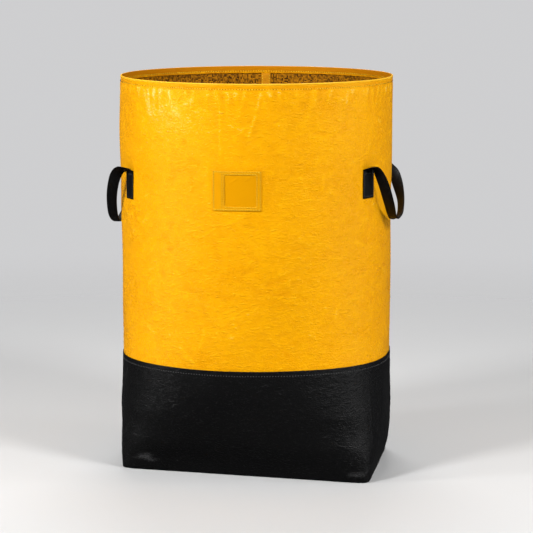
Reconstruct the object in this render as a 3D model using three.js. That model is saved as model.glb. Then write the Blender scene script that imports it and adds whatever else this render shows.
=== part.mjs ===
// A tall round sack for moving and storage: yellow coated cloth above, black coated cloth below, and two webbing
// handles. Lengths are in millimetres. +Z is up, the front faces -Y, and the handles are on the X sides.
import * as THREE from "three";

// Overall sizes
const HEIGHT = 866;
const MOUTH_RADIUS = 302;
const CLOTH = 1.5;
const CLEARANCE = 0.3;

// Lower wall and base
const LOWER_HEIGHT = 250;
const LAP = 15;
const BASE_THICKNESS = 2;

// The lap hangs down in front: how far, its middle in degrees from the front towards +X, its half width in
// degrees, and the height at which the yellow cloth is level again
const SAG = 5;
const SAG_TURN = -5;
const SAG_WIDE = 30;
const SAG_TOP = 560;

// Hem at the mouth
const HEM_DEPTH = 17;
const HEM_ROUND = 0.8;

// Seam tape inside the back
const TAPE_WIDTH = 22;
const TAPE_THICKNESS = 1.5;
const TAPE_TURN = -4.2;
const TAPE_FOOT = 30;
const TAPE_CLEARANCE = 0.6;

// Patch on the front
const PATCH_WIDTH = 106;
const PATCH_HEIGHT = 86;
const PATCH_CENTRE = 638;
const PATCH_SHEET = 0.8;
const WINDOW_WIDTH = 67;
const WINDOW_HEIGHT = 67;
const WINDOW_SHIFT = 7.5;

// Handles
const WEBBING_WIDTH = 40;
const WEBBING_THICKNESS = 2;
const GRIP_WIDTH = 25;
const HANDLE_SEWN = 62;
const RIGHT_HANDLE_TOP = 672;
const RIGHT_HANDLE_DROP = 134;
const RIGHT_HANDLE_HALF_SPAN = 144;
const RIGHT_HANDLE_STAND_OFF = 22;
const LEFT_HANDLE_TOP = 664;
const LEFT_HANDLE_DROP = 138;
const LEFT_HANDLE_HALF_SPAN = 157;
const LEFT_HANDLE_STAND_OFF = 25;

// Fineness
const COLUMNS = 96;
const UPPER_ROWS = 8;
const LOWER_ROWS = 8;
const STRAP_STEPS = 40;
const SEWN_STEPS = 2;

const TURN = 2 * Math.PI;
const DEGREE = Math.PI / 180;

// Each row is one level section. at is a share of HEIGHT, halfX, halfY and shift are shares of MOUTH_RADIUS.
// power is the exponent of the superellipse: 2 is an ellipse, 24 a rectangle with tight corners. rack is how far
// the section leans to the front for each millimetre to +X.
const SECTIONS = [
  { at: 0, halfX: 0.926, halfY: 0.656, power: 24, rack: 0.155, shift: -0.008 },
  { at: 0.035, halfX: 0.939, halfY: 0.695, power: 12, rack: 0.15, shift: -0.008 },
  { at: 0.09, halfX: 0.959, halfY: 0.77, power: 5.5, rack: 0.125, shift: -0.006 },
  { at: 0.17, halfX: 0.974, halfY: 0.855, power: 3.4, rack: 0.08, shift: -0.003 },
  { at: 0.29, halfX: 0.982, halfY: 0.924, power: 2.45, rack: 0.025, shift: 0 },
  { at: 0.46, halfX: 0.986, halfY: 0.962, power: 2.15, rack: 0, shift: 0 },
  { at: 0.7, halfX: 0.991, halfY: 0.984, power: 2.03, rack: 0, shift: 0 },
  { at: 0.88, halfX: 0.998, halfY: 0.997, power: 2, rack: 0, shift: 0 },
  { at: 1, halfX: 1, halfY: 1, power: 2, rack: 0, shift: 0 },
];

// Each row is one broad dent or bulge. around is its place in degrees from the front towards +X, at is a share
// of HEIGHT, wide is its half width in degrees, tall its half height as a share of HEIGHT, and out is in mm.
const DENTS = [
  { around: -99, at: 0.88, wide: 26, tall: 0.07, out: 2.6 },
  { around: 82, at: 0.84, wide: 24, tall: 0.1, out: -1.6 },
  { around: -62, at: 0.63, wide: 9, tall: 0.05, out: -1.6 },
  { around: 62, at: 0.63, wide: 9, tall: 0.05, out: -1.6 },
  { around: -118, at: 0.63, wide: 9, tall: 0.05, out: -1.6 },
  { around: 118, at: 0.63, wide: 9, tall: 0.05, out: -1.6 },
  { around: -20, at: 0.52, wide: 24, tall: 0.09, out: 1.8 },
  { around: 28, at: 0.4, wide: 20, tall: 0.08, out: -1.6 },
  { around: 150, at: 0.55, wide: 26, tall: 0.12, out: -3 },
  { around: -160, at: 0.35, wide: 22, tall: 0.1, out: 2.4 },
  { around: 0, at: 0.16, wide: 30, tall: 0.05, out: -3 },
  { around: 180, at: 0.15, wide: 32, tall: 0.06, out: -4 },
  { around: 96, at: 0.17, wide: 18, tall: 0.06, out: 2 },
  { around: -88, at: 0.15, wide: 18, tall: 0.06, out: -2 },
  { around: -92, at: 0.95, wide: 30, tall: 0.09, out: 1.2 },
  { around: -92, at: 0.8, wide: 30, tall: 0.09, out: 4 },
  { around: -92, at: 0.66, wide: 30, tall: 0.09, out: 4.1 },
  { around: -92, at: 0.52, wide: 30, tall: 0.09, out: 1.6 },
  { around: -92, at: 0.39, wide: 30, tall: 0.08, out: 3.1 },
  { around: -92, at: 0.17, wide: 26, tall: 0.06, out: 1.7 },
  { around: 92, at: 0.8, wide: 28, tall: 0.09, out: 1.8 },
  { around: 90, at: 0.16, wide: 24, tall: 0.04, out: 2 },
  { around: 90, at: 0.1, wide: 24, tall: 0.04, out: 9 },
  { around: 90, at: 0.055, wide: 24, tall: 0.03, out: 8.4 },
];

// Each row is one place along a handle, from the front sewn end's top to the back one's. along is a share of
// the half span (front negative), out a share of the stand-off from the wall beside it, down a share of the
// drop. runAlong, runOut and runUp are the direction of the width from the strap's lower edge to its upper
// edge. flat is how far the webbing is still spread: 1 is its full width, 0 is folded to the grip's width.
const RIGHT_STRAP = [
  { share: 0.05, along: -1.01, out: 0.49, down: -0.038, runAlong: -1.03, runOut: -0.13, runUp: 0.05, flat: 0.6 },
  { share: 0.1, along: -1, out: 0.8, down: -0.016, runAlong: -0.7, runOut: 0.54, runUp: 0.15, flat: 0.15 },
  { share: 0.2, along: -0.95, out: 1.31, down: 0.226, runAlong: -0.33, runOut: 0.98, runUp: 0.24, flat: 0 },
  { share: 0.3, along: -0.79, out: 1.3, down: 0.552, runAlong: -0.23, runOut: 0.95, runUp: -0.08, flat: 0 },
  { share: 0.4, along: -0.52, out: 0.9, down: 0.801, runAlong: -0.25, runOut: 0.91, runUp: -0.32, flat: 0 },
  { share: 0.5, along: -0.22, out: 0.73, down: 0.873, runAlong: -0.09, runOut: 0.95, runUp: 0.22, flat: 0 },
  { share: 0.6, along: 0.09, out: 0.92, down: 0.84, runAlong: -0.23, runOut: 0.68, runUp: 0.71, flat: 0 },
  { share: 0.7, along: 0.44, out: 1.06, down: 0.616, runAlong: -0.44, runOut: 0.66, runUp: 0.64, flat: 0 },
  { share: 0.8, along: 0.75, out: 0.89, down: 0.294, runAlong: 0.18, runOut: 0.93, runUp: 0.26, flat: 0 },
  { share: 0.9, along: 0.97, out: 0.7, down: 0.067, runAlong: 0.8, runOut: 0.4, runUp: -0.43, flat: 0.15 },
  { share: 0.95, along: 1.02, out: 0.48, down: -0.002, runAlong: 0.82, runOut: 0.05, runUp: -0.61, flat: 0.6 },
];

// The other handle hangs in its own way.
const LEFT_STRAP = [
  { share: 0.05, along: -1.02, out: 0.47, down: -0.009, runAlong: -0.93, runOut: -0.22, runUp: 0.36, flat: 0.6 },
  { share: 0.1, along: -1.01, out: 0.93, down: -0.013, runAlong: -0.71, runOut: 0.51, runUp: 0.43, flat: 0.15 },
  { share: 0.2, along: -0.97, out: 1.33, down: 0.14, runAlong: -0.09, runOut: 0.95, runUp: 0.34, flat: 0 },
  { share: 0.3, along: -0.74, out: 1.13, down: 0.464, runAlong: 0.11, runOut: 0.94, runUp: 0.32, flat: 0 },
  { share: 0.4, along: -0.29, out: 0.69, down: 0.832, runAlong: 0.04, runOut: 0.95, runUp: 0.32, flat: 0 },
  { share: 0.5, along: 0.19, out: 0.62, down: 0.972, runAlong: 0.04, runOut: 1, runUp: -0.07, flat: 0 },
  { share: 0.6, along: 0.53, out: 0.99, down: 0.902, runAlong: 0.09, runOut: 0.97, runUp: 0.08, flat: 0 },
  { share: 0.7, along: 0.75, out: 1.07, down: 0.68, runAlong: 0.32, runOut: 0.94, runUp: 0.1, flat: 0 },
  { share: 0.8, along: 0.9, out: 0.93, down: 0.363, runAlong: 0.69, runOut: 0.73, runUp: -0.06, flat: 0 },
  { share: 0.9, along: 1.01, out: 0.73, down: 0.067, runAlong: 0.95, runOut: 0.16, runUp: -0.28, flat: 0.15 },
  { share: 0.95, along: 1.03, out: 0.48, down: -0.011, runAlong: 0.95, runOut: -0.18, runUp: -0.29, flat: 0.6 },
];

// Value of one column of a table at a place along it, on a smooth curve through the rows.
function readTable(rows, place, key, column) {
  const last = rows.length - 1;
  let row = 0;
  while (row < last - 1 && place > rows[row + 1][key]) row += 1;
  const low = rows[row];
  const high = rows[row + 1];
  const slope = (a, b) => (rows[b][column] - rows[a][column]) / (rows[b][key] - rows[a][key]);
  const span = high[key] - low[key];
  const share = Math.min(Math.max((place - low[key]) / span, 0), 1);
  const startSlope = slope(Math.max(row - 1, 0), row + 1) * span;
  const endSlope = slope(row, Math.min(row + 2, last)) * span;
  const square = share * share;
  const cube = square * share;
  return (
    (2 * cube - 3 * square + 1) * low[column] +
    (cube - 2 * square + share) * startSlope +
    (3 * square - 2 * cube) * high[column] +
    (cube - square) * endSlope
  );
}

// Smallest turn from one direction to another, in degrees.
function turnBetween(a, b) {
  return ((((a - b) % 360) + 540) % 360) - 180;
}

// How far the dents move the wall outwards at a place.
function dentAt(around, height) {
  return DENTS.reduce((sum, dent) => {
    const across = turnBetween(around, dent.around) / dent.wide;
    const upright = (height / HEIGHT - dent.at) / dent.tall;
    return sum + dent.out * Math.exp(-across * across - upright * upright);
  }, 0);
}

// Point on a level section. angle starts at +X and runs anticlockwise seen from above.
function sectionPoint(angle, height) {
  const at = height / HEIGHT;
  const power = readTable(SECTIONS, at, "at", "power");
  const halfX = readTable(SECTIONS, at, "at", "halfX") * MOUTH_RADIUS;
  const halfY = readTable(SECTIONS, at, "at", "halfY") * MOUTH_RADIUS;
  const rack = readTable(SECTIONS, at, "at", "rack");
  const shift = readTable(SECTIONS, at, "at", "shift") * MOUTH_RADIUS;
  const cosine = Math.cos(angle);
  const sine = Math.sin(angle);
  const reach = (Math.abs(cosine) ** power + Math.abs(sine) ** power) ** (-1 / power);
  const x = halfX * reach * cosine;
  return new THREE.Vector2(x + shift, halfY * reach * sine - rack * x);
}

// Outward direction of a level section.
function sectionNormal(angle, height) {
  const step = TURN / COLUMNS / 8;
  const run = sectionPoint(angle + step, height).sub(sectionPoint(angle - step, height));
  return new THREE.Vector2(run.y, -run.x).normalize();
}

// How far the walls hang down at a place because of the sagging lap.
function sagAt(around, height) {
  const across = turnBetween(around, SAG_TURN) / SAG_WIDE;
  const below = THREE.MathUtils.smoothstep(height, 0, LOWER_HEIGHT);
  const above = 1 - THREE.MathUtils.smoothstep(height, LOWER_HEIGHT, SAG_TOP);
  return SAG * below * above * Math.exp(-across * across);
}

// Point on the wall, moved outwards by an offset. The yellow wall's outer face has offset 0.
function wallPoint(angle, height, offset) {
  const around = 90 + angle / DEGREE;
  const flat = sectionPoint(angle, height);
  flat.addScaledVector(sectionNormal(angle, height), offset + dentAt(around, height));
  return new THREE.Vector3(flat.x, flat.y, height - sagAt(around, height));
}

// Point on the wall at a horizontal distance from a place given in degrees from the front towards +X.
function besidePoint(around, distance, height, offset) {
  const angle = (around - 90) * DEGREE + distance / MOUTH_RADIUS;
  return wallPoint(angle, height, offset);
}

// Mesh from points and triangles, with the colour and finish given.
function makeMesh(name, points, triangles, look) {
  const positions = points.flatMap((point) => [point.x, point.y, point.z]);
  const geometry = new THREE.BufferGeometry();
  geometry.setAttribute("position", new THREE.Float32BufferAttribute(positions, 3));
  geometry.setIndex(triangles);
  geometry.computeVertexNormals();
  const mesh = new THREE.Mesh(geometry, new THREE.MeshStandardMaterial(look));
  mesh.name = name;
  return mesh;
}

// Two triangles for one four-sided face.
function quad(a, b, c, d) {
  return [a, b, c, a, c, d];
}

// Ring-shaped body: its rings are joined one after another, and the last to the first.
function ringBody(name, profile, look) {
  const points = profile.flatMap(({ offset, height }) =>
    Array.from({ length: COLUMNS }, (_, column) => wallPoint((column / COLUMNS) * TURN, height, offset)),
  );
  const triangles = [];
  profile.forEach((_, ring) => {
    const here = ring * COLUMNS;
    const above = ((ring + 1) % profile.length) * COLUMNS;
    for (let column = 0; column < COLUMNS; column += 1) {
      const next = (column + 1) % COLUMNS;
      triangles.push(...quad(here + column, here + next, above + next, above + column));
    }
  });
  return makeMesh(name, points, triangles, look);
}

// Profile of a wall: up the outer face and down the inner one.
function wallProfile(heights, outer, inner) {
  const upwards = heights.map((height) => ({ offset: outer, height }));
  const downwards = heights.toReversed().map((height) => ({ offset: inner, height }));
  return [...upwards, ...downwards];
}

// Flat plate that fills a level section.
function plateBody(name, foot, top, offset, look) {
  const ring = (height) =>
    Array.from({ length: COLUMNS }, (_, column) =>
      wallPoint((column / COLUMNS) * TURN, foot, offset).setZ(height),
    );
  const centres = [foot, top].map((height) => new THREE.Vector3(0, 0, height));
  const points = [...ring(foot), ...ring(top), ...centres];
  const footCentre = 2 * COLUMNS;
  const topCentre = footCentre + 1;
  const triangles = [];
  for (let column = 0; column < COLUMNS; column += 1) {
    const next = (column + 1) % COLUMNS;
    triangles.push(...quad(column, next, COLUMNS + next, COLUMNS + column));
    triangles.push(next, column, footCentre);
    triangles.push(COLUMNS + column, COLUMNS + next, topCentre);
  }
  return makeMesh(name, points, triangles, look);
}

// Thin piece laid on the wall, made of the cells of a grid that are kept. pointAt gives the place of a cell
// corner at an offset, with the first direction to the right as seen from the piece's own outer side.
function cellBody(name, across, upright, keep, pointAt, inner, outer, look) {
  const columns = across.length;
  const layer = columns * upright.length;
  const corner = (i, j, side) => side * layer + j * columns + i;
  const points = [inner, outer].flatMap((offset) =>
    upright.flatMap((height) => across.map((distance) => pointAt(distance, height, offset))),
  );
  const kept = (i, j) => i >= 0 && j >= 0 && i < columns - 1 && j < upright.length - 1 && keep(i, j);
  const triangles = [];
  const wall = (i0, j0, i1, j1) =>
    triangles.push(...quad(corner(i0, j0, 0), corner(i1, j1, 0), corner(i1, j1, 1), corner(i0, j0, 1)));
  for (let j = 0; j < upright.length - 1; j += 1) {
    for (let i = 0; i < columns - 1; i += 1) {
      if (!kept(i, j)) continue;
      triangles.push(...quad(corner(i, j, 1), corner(i + 1, j, 1), corner(i + 1, j + 1, 1), corner(i, j + 1, 1)));
      triangles.push(...quad(corner(i, j, 0), corner(i, j + 1, 0), corner(i + 1, j + 1, 0), corner(i + 1, j, 0)));
      if (!kept(i, j - 1)) wall(i, j, i + 1, j);
      if (!kept(i + 1, j)) wall(i + 1, j, i + 1, j + 1);
      if (!kept(i, j + 1)) wall(i + 1, j + 1, i, j + 1);
      if (!kept(i - 1, j)) wall(i, j + 1, i, j);
    }
  }
  const used = new Map();
  const order = triangles.map((index) => {
    if (!used.has(index)) used.set(index, used.size);
    return used.get(index);
  });
  return makeMesh(name, [...used.keys()].map((index) => points[index]), order, look);
}

// Even steps from one value to another.
function steps(start, end, count) {
  return Array.from({ length: count + 1 }, (_, index) => start + ((end - start) * index) / count);
}

// Middle line and width run of a handle, from the front sewn end's foot to the back one's. side is 1 for the
// +X handle and -1 for the -X one, top is the height of the sewn ends' tops. end is 1 for the front sewn end
// and -1 for the back one.
function handleStations({ side, top, drop, halfSpan, standOff, strap }) {
  const sewnTurn = Math.asin(halfSpan / MOUTH_RADIUS) / DEGREE;
  const wallAt = (along) => {
    const around = side * (90 + Math.asin((along * halfSpan) / MOUTH_RADIUS) / DEGREE);
    return besidePoint(around, 0, top - drop / 2, 0).x;
  };
  const sewnAt = (end, height) => {
    const around = side * (90 - end * sewnTurn);
    const lift = CLEARANCE + WEBBING_THICKNESS / 2;
    const reach = (side * end * WEBBING_WIDTH) / 2;
    const centre = besidePoint(around, 0, height, lift);
    const lower = besidePoint(around, reach, height, lift);
    const upper = besidePoint(around, -reach, height, lift);
    const bow = upper.clone().add(lower).multiplyScalar(0.5).sub(centre);
    return { centre, run: upper.sub(lower), bow };
  };
  const sewn = (end) =>
    steps(top - HANDLE_SEWN, top, SEWN_STEPS).map((height) => sewnAt(end, height));
  const first = sewnAt(1, top);
  const last = sewnAt(-1, top);
  const asRow = (station, share) => ({
    share,
    x: station.centre.x,
    y: station.centre.y,
    z: station.centre.z,
    runX: station.run.x / WEBBING_WIDTH,
    runY: station.run.y / WEBBING_WIDTH,
    runZ: 0,
    width: WEBBING_WIDTH,
  });
  const rows = [
    asRow(first, 0),
    ...strap.map((row) => ({
      share: row.share,
      x: wallAt(row.along) + side * row.out * standOff,
      y: row.along * halfSpan,
      z: top - row.down * drop,
      runX: side * row.runOut,
      runY: row.runAlong,
      runZ: row.runUp,
      width: GRIP_WIDTH + row.flat * (WEBBING_WIDTH - GRIP_WIDTH),
    })),
    asRow(last, 1),
  ];
  const loop = steps(0, 1, STRAP_STEPS)
    .slice(1, -1)
    .map((share) => {
      const read = (column) => readTable(rows, share, "share", column);
      const centre = new THREE.Vector3(read("x"), read("y"), read("z"));
      const run = new THREE.Vector3(read("runX"), read("runY"), read("runZ"));
      run.setLength(read("width"));
      return { centre, run, bow: new THREE.Vector3() };
    });
  return [...sewn(1), ...loop, ...sewn(-1).toReversed()];
}

// Flat strap swept along the stations of one side's handle.
function handleBody(name, place, look) {
  const stations = handleStations(place);
  const across = [-0.5, -0.25, 0, 0.25, 0.5];
  const points = [];
  stations.forEach((station, index) => {
    const before = stations[Math.max(index - 1, 0)].centre;
    const after = stations[Math.min(index + 1, stations.length - 1)].centre;
    const along = after.clone().sub(before).normalize();
    const run = station.run.clone();
    const width = run.length();
    run.addScaledVector(along, -run.dot(along)).setLength(width);
    const face = run.clone().cross(along).normalize();
    const layer = (offset) =>
      across.map((share) =>
        station.centre
          .clone()
          .addScaledVector(run, share)
          .addScaledVector(station.bow, 4 * share * share)
          .addScaledVector(face, offset),
      );
    points.push(...layer(-WEBBING_THICKNESS / 2), ...layer(WEBBING_THICKNESS / 2).toReversed());
  });
  const around = 2 * across.length;
  const triangles = [];
  for (let row = 0; row < stations.length - 1; row += 1) {
    for (let column = 0; column < around; column += 1) {
      const next = (column + 1) % around;
      const here = row * around;
      const above = here + around;
      triangles.push(...quad(here + column, above + column, above + next, here + next));
    }
  }
  const tail = (stations.length - 1) * around;
  for (let column = 0; column < across.length - 1; column += 1) {
    const far = around - 1 - column;
    triangles.push(...quad(column, column + 1, far - 1, far));
    triangles.push(...quad(tail + column, tail + far, tail + far - 1, tail + column + 1));
  }
  return makeMesh(name, points, triangles, look);
}

// Hem folded over the mouth: a rounded cap with a leg down the inside.
function hemProfile() {
  const inner = -2 * CLOTH - CLEARANCE;
  const capFoot = HEIGHT - CLOTH;
  return [
    { offset: 0, height: capFoot },
    { offset: 0, height: HEIGHT - HEM_ROUND },
    { offset: -HEM_ROUND, height: HEIGHT },
    { offset: inner + HEM_ROUND, height: HEIGHT },
    { offset: inner, height: HEIGHT - HEM_DEPTH },
    { offset: -CLOTH - CLEARANCE, height: HEIGHT - HEM_DEPTH },
    { offset: -CLOTH - CLEARANCE, height: capFoot },
  ];
}

const YELLOW = { color: 0xf9b208, roughness: 0.42, metalness: 0 };
const YELLOW_TAPE = { color: 0xd9900a, roughness: 0.6, metalness: 0 };
const YELLOW_PATCH = { color: 0xf6a80a, roughness: 0.4, metalness: 0 };
const BLACK = { color: 0x17171a, roughness: 0.45, metalness: 0 };
const BLACK_WEBBING = { color: 0x0d0d10, roughness: 0.5, metalness: 0 };

const rightHandle = {
  side: 1,
  top: RIGHT_HANDLE_TOP,
  drop: RIGHT_HANDLE_DROP,
  halfSpan: RIGHT_HANDLE_HALF_SPAN,
  standOff: RIGHT_HANDLE_STAND_OFF,
  strap: RIGHT_STRAP,
};
const leftHandle = {
  side: -1,
  top: LEFT_HANDLE_TOP,
  drop: LEFT_HANDLE_DROP,
  halfSpan: LEFT_HANDLE_HALF_SPAN,
  standOff: LEFT_HANDLE_STAND_OFF,
  strap: LEFT_STRAP,
};
const wallTop = HEIGHT - CLOTH - CLEARANCE;
const overlapFoot = LOWER_HEIGHT - LAP;
const patchFoot = PATCH_CENTRE - PATCH_HEIGHT / 2;
const patchAt = (distance, height, offset) => besidePoint(0, distance, height, offset);
const windowLeft = WINDOW_SHIFT - WINDOW_WIDTH / 2;
const windowFoot = PATCH_CENTRE - WINDOW_HEIGHT / 2;
const frameAcross = [
  ...steps(-PATCH_WIDTH / 2, windowLeft, 2),
  ...steps(windowLeft, windowLeft + WINDOW_WIDTH, 4).slice(1),
  PATCH_WIDTH / 2,
];
const frameUpright = [patchFoot, windowFoot, windowFoot + WINDOW_HEIGHT, patchFoot + PATCH_HEIGHT];
const inWindow = (i, j) => j === 1 && frameAcross[i] >= windowLeft && frameAcross[i + 1] <= windowLeft + WINDOW_WIDTH;
const patchOuter = CLEARANCE + PATCH_SHEET;
const frameInner = patchOuter + CLEARANCE;
const tapeOuter = -CLOTH - TAPE_CLEARANCE;
const tapeInner = tapeOuter - TAPE_THICKNESS;
const tapeTop = HEIGHT - HEM_DEPTH - CLEARANCE;
const upperHeights = [overlapFoot, ...steps(LOWER_HEIGHT, wallTop, UPPER_ROWS)];
const lowerHeights = [...steps(0, overlapFoot, LOWER_ROWS), LOWER_HEIGHT];
const tapeFoot = overlapFoot + TAPE_FOOT;
const tapeHeights = [tapeFoot, ...upperHeights.filter((height) => height > tapeFoot && height < tapeTop), tapeTop];

const sack = new THREE.Group();
sack.name = "moving_sack";
sack.add(
  ringBody("upper_wall", wallProfile(upperHeights, 0, -CLOTH), YELLOW),
  ringBody("rim_hem", hemProfile(), YELLOW),
  ringBody("lower_wall", wallProfile(lowerHeights, CLEARANCE + CLOTH, CLEARANCE), BLACK),
  plateBody("base_panel", 0, BASE_THICKNESS, 0, BLACK),
  cellBody(
    "back_seam",
    steps(-TAPE_WIDTH / 2, TAPE_WIDTH / 2, 2),
    tapeHeights,
    () => true,
    (distance, height, offset) => besidePoint(180 - TAPE_TURN, distance, height, offset),
    tapeInner,
    tapeOuter,
    YELLOW_TAPE,
  ),
  cellBody("label_patch", frameAcross, frameUpright, () => true, patchAt, CLEARANCE, patchOuter, YELLOW_PATCH),
  cellBody(
    "label_frame",
    frameAcross,
    frameUpright,
    (i, j) => !inWindow(i, j),
    patchAt,
    frameInner,
    frameInner + PATCH_SHEET,
    YELLOW_PATCH,
  ),
  handleBody("handle_right", rightHandle, BLACK_WEBBING),
  handleBody("handle_left", leftHandle, BLACK_WEBBING),
);

export default sack;
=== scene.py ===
"""Finished look of a tall round sack: coated woven cloth, webbing handles and a sewn patch.

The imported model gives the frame. Each soft solid is replaced by a finer surface that follows the same
tables, with the puckers, creases, folded edges, stitches and woven finishes that the solid leaves out.
Lengths are in metres, and places round the sack in degrees from the front towards +X. No cloth is simulated:
folds and creases are sums of smooth bumps along the wall's outward direction.
"""
import math

import bpy
import numpy as np
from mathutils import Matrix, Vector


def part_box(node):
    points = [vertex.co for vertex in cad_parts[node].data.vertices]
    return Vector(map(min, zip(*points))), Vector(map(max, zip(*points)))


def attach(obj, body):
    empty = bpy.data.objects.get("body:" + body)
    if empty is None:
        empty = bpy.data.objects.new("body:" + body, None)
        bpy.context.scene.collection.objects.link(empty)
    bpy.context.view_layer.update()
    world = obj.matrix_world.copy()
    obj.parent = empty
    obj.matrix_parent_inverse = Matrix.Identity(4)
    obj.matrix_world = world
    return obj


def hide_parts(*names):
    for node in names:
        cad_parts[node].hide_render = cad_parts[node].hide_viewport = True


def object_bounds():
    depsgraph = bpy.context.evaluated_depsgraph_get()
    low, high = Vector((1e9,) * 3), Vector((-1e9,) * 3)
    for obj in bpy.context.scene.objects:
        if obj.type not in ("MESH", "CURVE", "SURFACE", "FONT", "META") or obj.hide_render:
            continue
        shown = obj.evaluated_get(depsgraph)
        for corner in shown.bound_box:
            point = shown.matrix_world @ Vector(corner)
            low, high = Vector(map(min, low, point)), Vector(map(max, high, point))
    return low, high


bl_info = {
    "name": "Moving sack",
    "version": (1, 0, 0),
    "blender": (4, 5, 0),
    "location": "3D View > Sidebar > Sack",
    "description": "Builds a tall round sack of coated woven cloth on its packed model",
    "category": "Object",
}

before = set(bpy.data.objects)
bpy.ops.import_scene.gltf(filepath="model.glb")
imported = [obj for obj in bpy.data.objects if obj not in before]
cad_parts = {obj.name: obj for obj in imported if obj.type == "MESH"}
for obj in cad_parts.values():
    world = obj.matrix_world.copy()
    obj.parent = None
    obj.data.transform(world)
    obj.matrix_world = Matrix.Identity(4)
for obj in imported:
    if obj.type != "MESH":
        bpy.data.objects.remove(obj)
MODEL_BOX = [list(corner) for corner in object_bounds()]
MM = 0.001

# Overall sizes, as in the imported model.
HEIGHT = MODEL_BOX[1][2]
MOUTH_RADIUS = 302 * MM
CLOTH = 1.5 * MM
CLEARANCE = 0.3 * MM
LOWER_HEIGHT = 250 * MM
HANDLE_SEWN = 62 * MM
RIGHT_HALF_SPAN, RIGHT_STAND_OFF = 144 * MM, 22 * MM
LEFT_HALF_SPAN, LEFT_STAND_OFF = 157 * MM, 25 * MM
TAPE_AROUND = 184.2
TAPE_CLEARANCE = 0.6 * MM

# Columns of a wall's grid round the sack, steps of a small bend, and the share of its pitch that a stitch
# covers.
WALL_COLUMNS, BEND_STEPS, STITCH_FILL = 480, 7, 0.62

# Steps of averaging that a fold's depth is measured against, for the painted shade and highlight of the
# relief.
PAINTED_LIGHT_SPREAD = 14

# The lap hangs down in front: how far, its middle and half width in degrees, and where the cloth is level
# again.
SAG, SAG_TURN, SAG_WIDE, SAG_TOP = 5 * MM, -5.0, 30.0, 560 * MM

# Level sections: at, half_x, half_y, power, rack and shift. at is a share of the height; half_x, half_y
# and shift are shares of the mouth's radius; power is the exponent of the superellipse; rack is how far
# the section leans to the front for each metre to +X.
SECTIONS = np.array([
    (0.000, 0.926, 0.656, 24.00, 0.155, -0.008),
    (0.035, 0.939, 0.695, 12.00, 0.150, -0.008),
    (0.090, 0.959, 0.770, 5.50, 0.125, -0.006),
    (0.170, 0.974, 0.855, 3.40, 0.080, -0.003),
    (0.290, 0.982, 0.924, 2.45, 0.025, 0.000),
    (0.460, 0.986, 0.962, 2.15, 0.000, 0.000),
    (0.700, 0.991, 0.984, 2.03, 0.000, 0.000),
    (0.880, 0.998, 0.997, 2.00, 0.000, 0.000),
    (1.000, 1.000, 1.000, 2.00, 0.000, 0.000),
])

# Broad dents and bulges of the wall: place round the sack and as a share of the height, half width in
# degrees, half height as a share of the height, and how far out in mm. In the last ten rows a scratch
# program fitted that last number to the outline in the photo.
DENTS = np.array([
    (-99, 0.88, 26, 0.07, 2.6),
    (82, 0.84, 24, 0.10, -1.6),
    (-62, 0.63, 9, 0.05, -1.6),
    (62, 0.63, 9, 0.05, -1.6),
    (-118, 0.63, 9, 0.05, -1.6),
    (118, 0.63, 9, 0.05, -1.6),
    (-20, 0.52, 24, 0.09, 1.8),
    (28, 0.40, 20, 0.08, -1.6),
    (150, 0.55, 26, 0.12, -3.0),
    (-160, 0.35, 22, 0.10, 2.4),
    (0, 0.16, 30, 0.05, -3.0),
    (180, 0.15, 32, 0.06, -4.0),
    (96, 0.17, 18, 0.06, 2.0),
    (-88, 0.15, 18, 0.06, -2.0),
    (-92, 0.95, 30, 0.09, 1.2),
    (-92, 0.80, 30, 0.09, 4.0),
    (-92, 0.66, 30, 0.09, 4.1),
    (-92, 0.52, 30, 0.09, 1.6),
    (-92, 0.39, 30, 0.08, 3.1),
    (-92, 0.17, 26, 0.06, 1.7),
    (92, 0.80, 28, 0.09, 1.8),
    (90, 0.16, 24, 0.04, 2.0),
    (90, 0.10, 24, 0.04, 9.0),
    (90, 0.055, 24, 0.03, 8.4),
])

# A handle from the front sewn end to the back one: share of the way, along, out and down in shares of its
# half span, stand-off and drop, the direction of the webbing's width in the same three directions, and
# how flat it is, from 1 for the full width to 0 for the folded grip. A scratch program fitted the six
# columns between the first and the last to the handle's edges in the photo.
RIGHT_STRAP = np.array([
    (0.05, -1.01, 0.49, -0.038, -1.03, -0.13, 0.05, 0.60),
    (0.10, -1.00, 0.80, -0.016, -0.70, 0.54, 0.15, 0.15),
    (0.20, -0.95, 1.31, 0.226, -0.33, 0.98, 0.24, 0.00),
    (0.30, -0.79, 1.30, 0.552, -0.23, 0.95, -0.08, 0.00),
    (0.40, -0.52, 0.90, 0.801, -0.25, 0.91, -0.32, 0.00),
    (0.50, -0.22, 0.73, 0.873, -0.09, 0.95, 0.22, 0.00),
    (0.60, 0.09, 0.92, 0.840, -0.23, 0.68, 0.71, 0.00),
    (0.70, 0.44, 1.06, 0.616, -0.44, 0.66, 0.64, 0.00),
    (0.80, 0.75, 0.89, 0.294, 0.18, 0.93, 0.26, 0.00),
    (0.90, 0.97, 0.70, 0.067, 0.80, 0.40, -0.43, 0.15),
    (0.95, 1.02, 0.48, -0.002, 0.82, 0.05, -0.61, 0.60),
])
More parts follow.
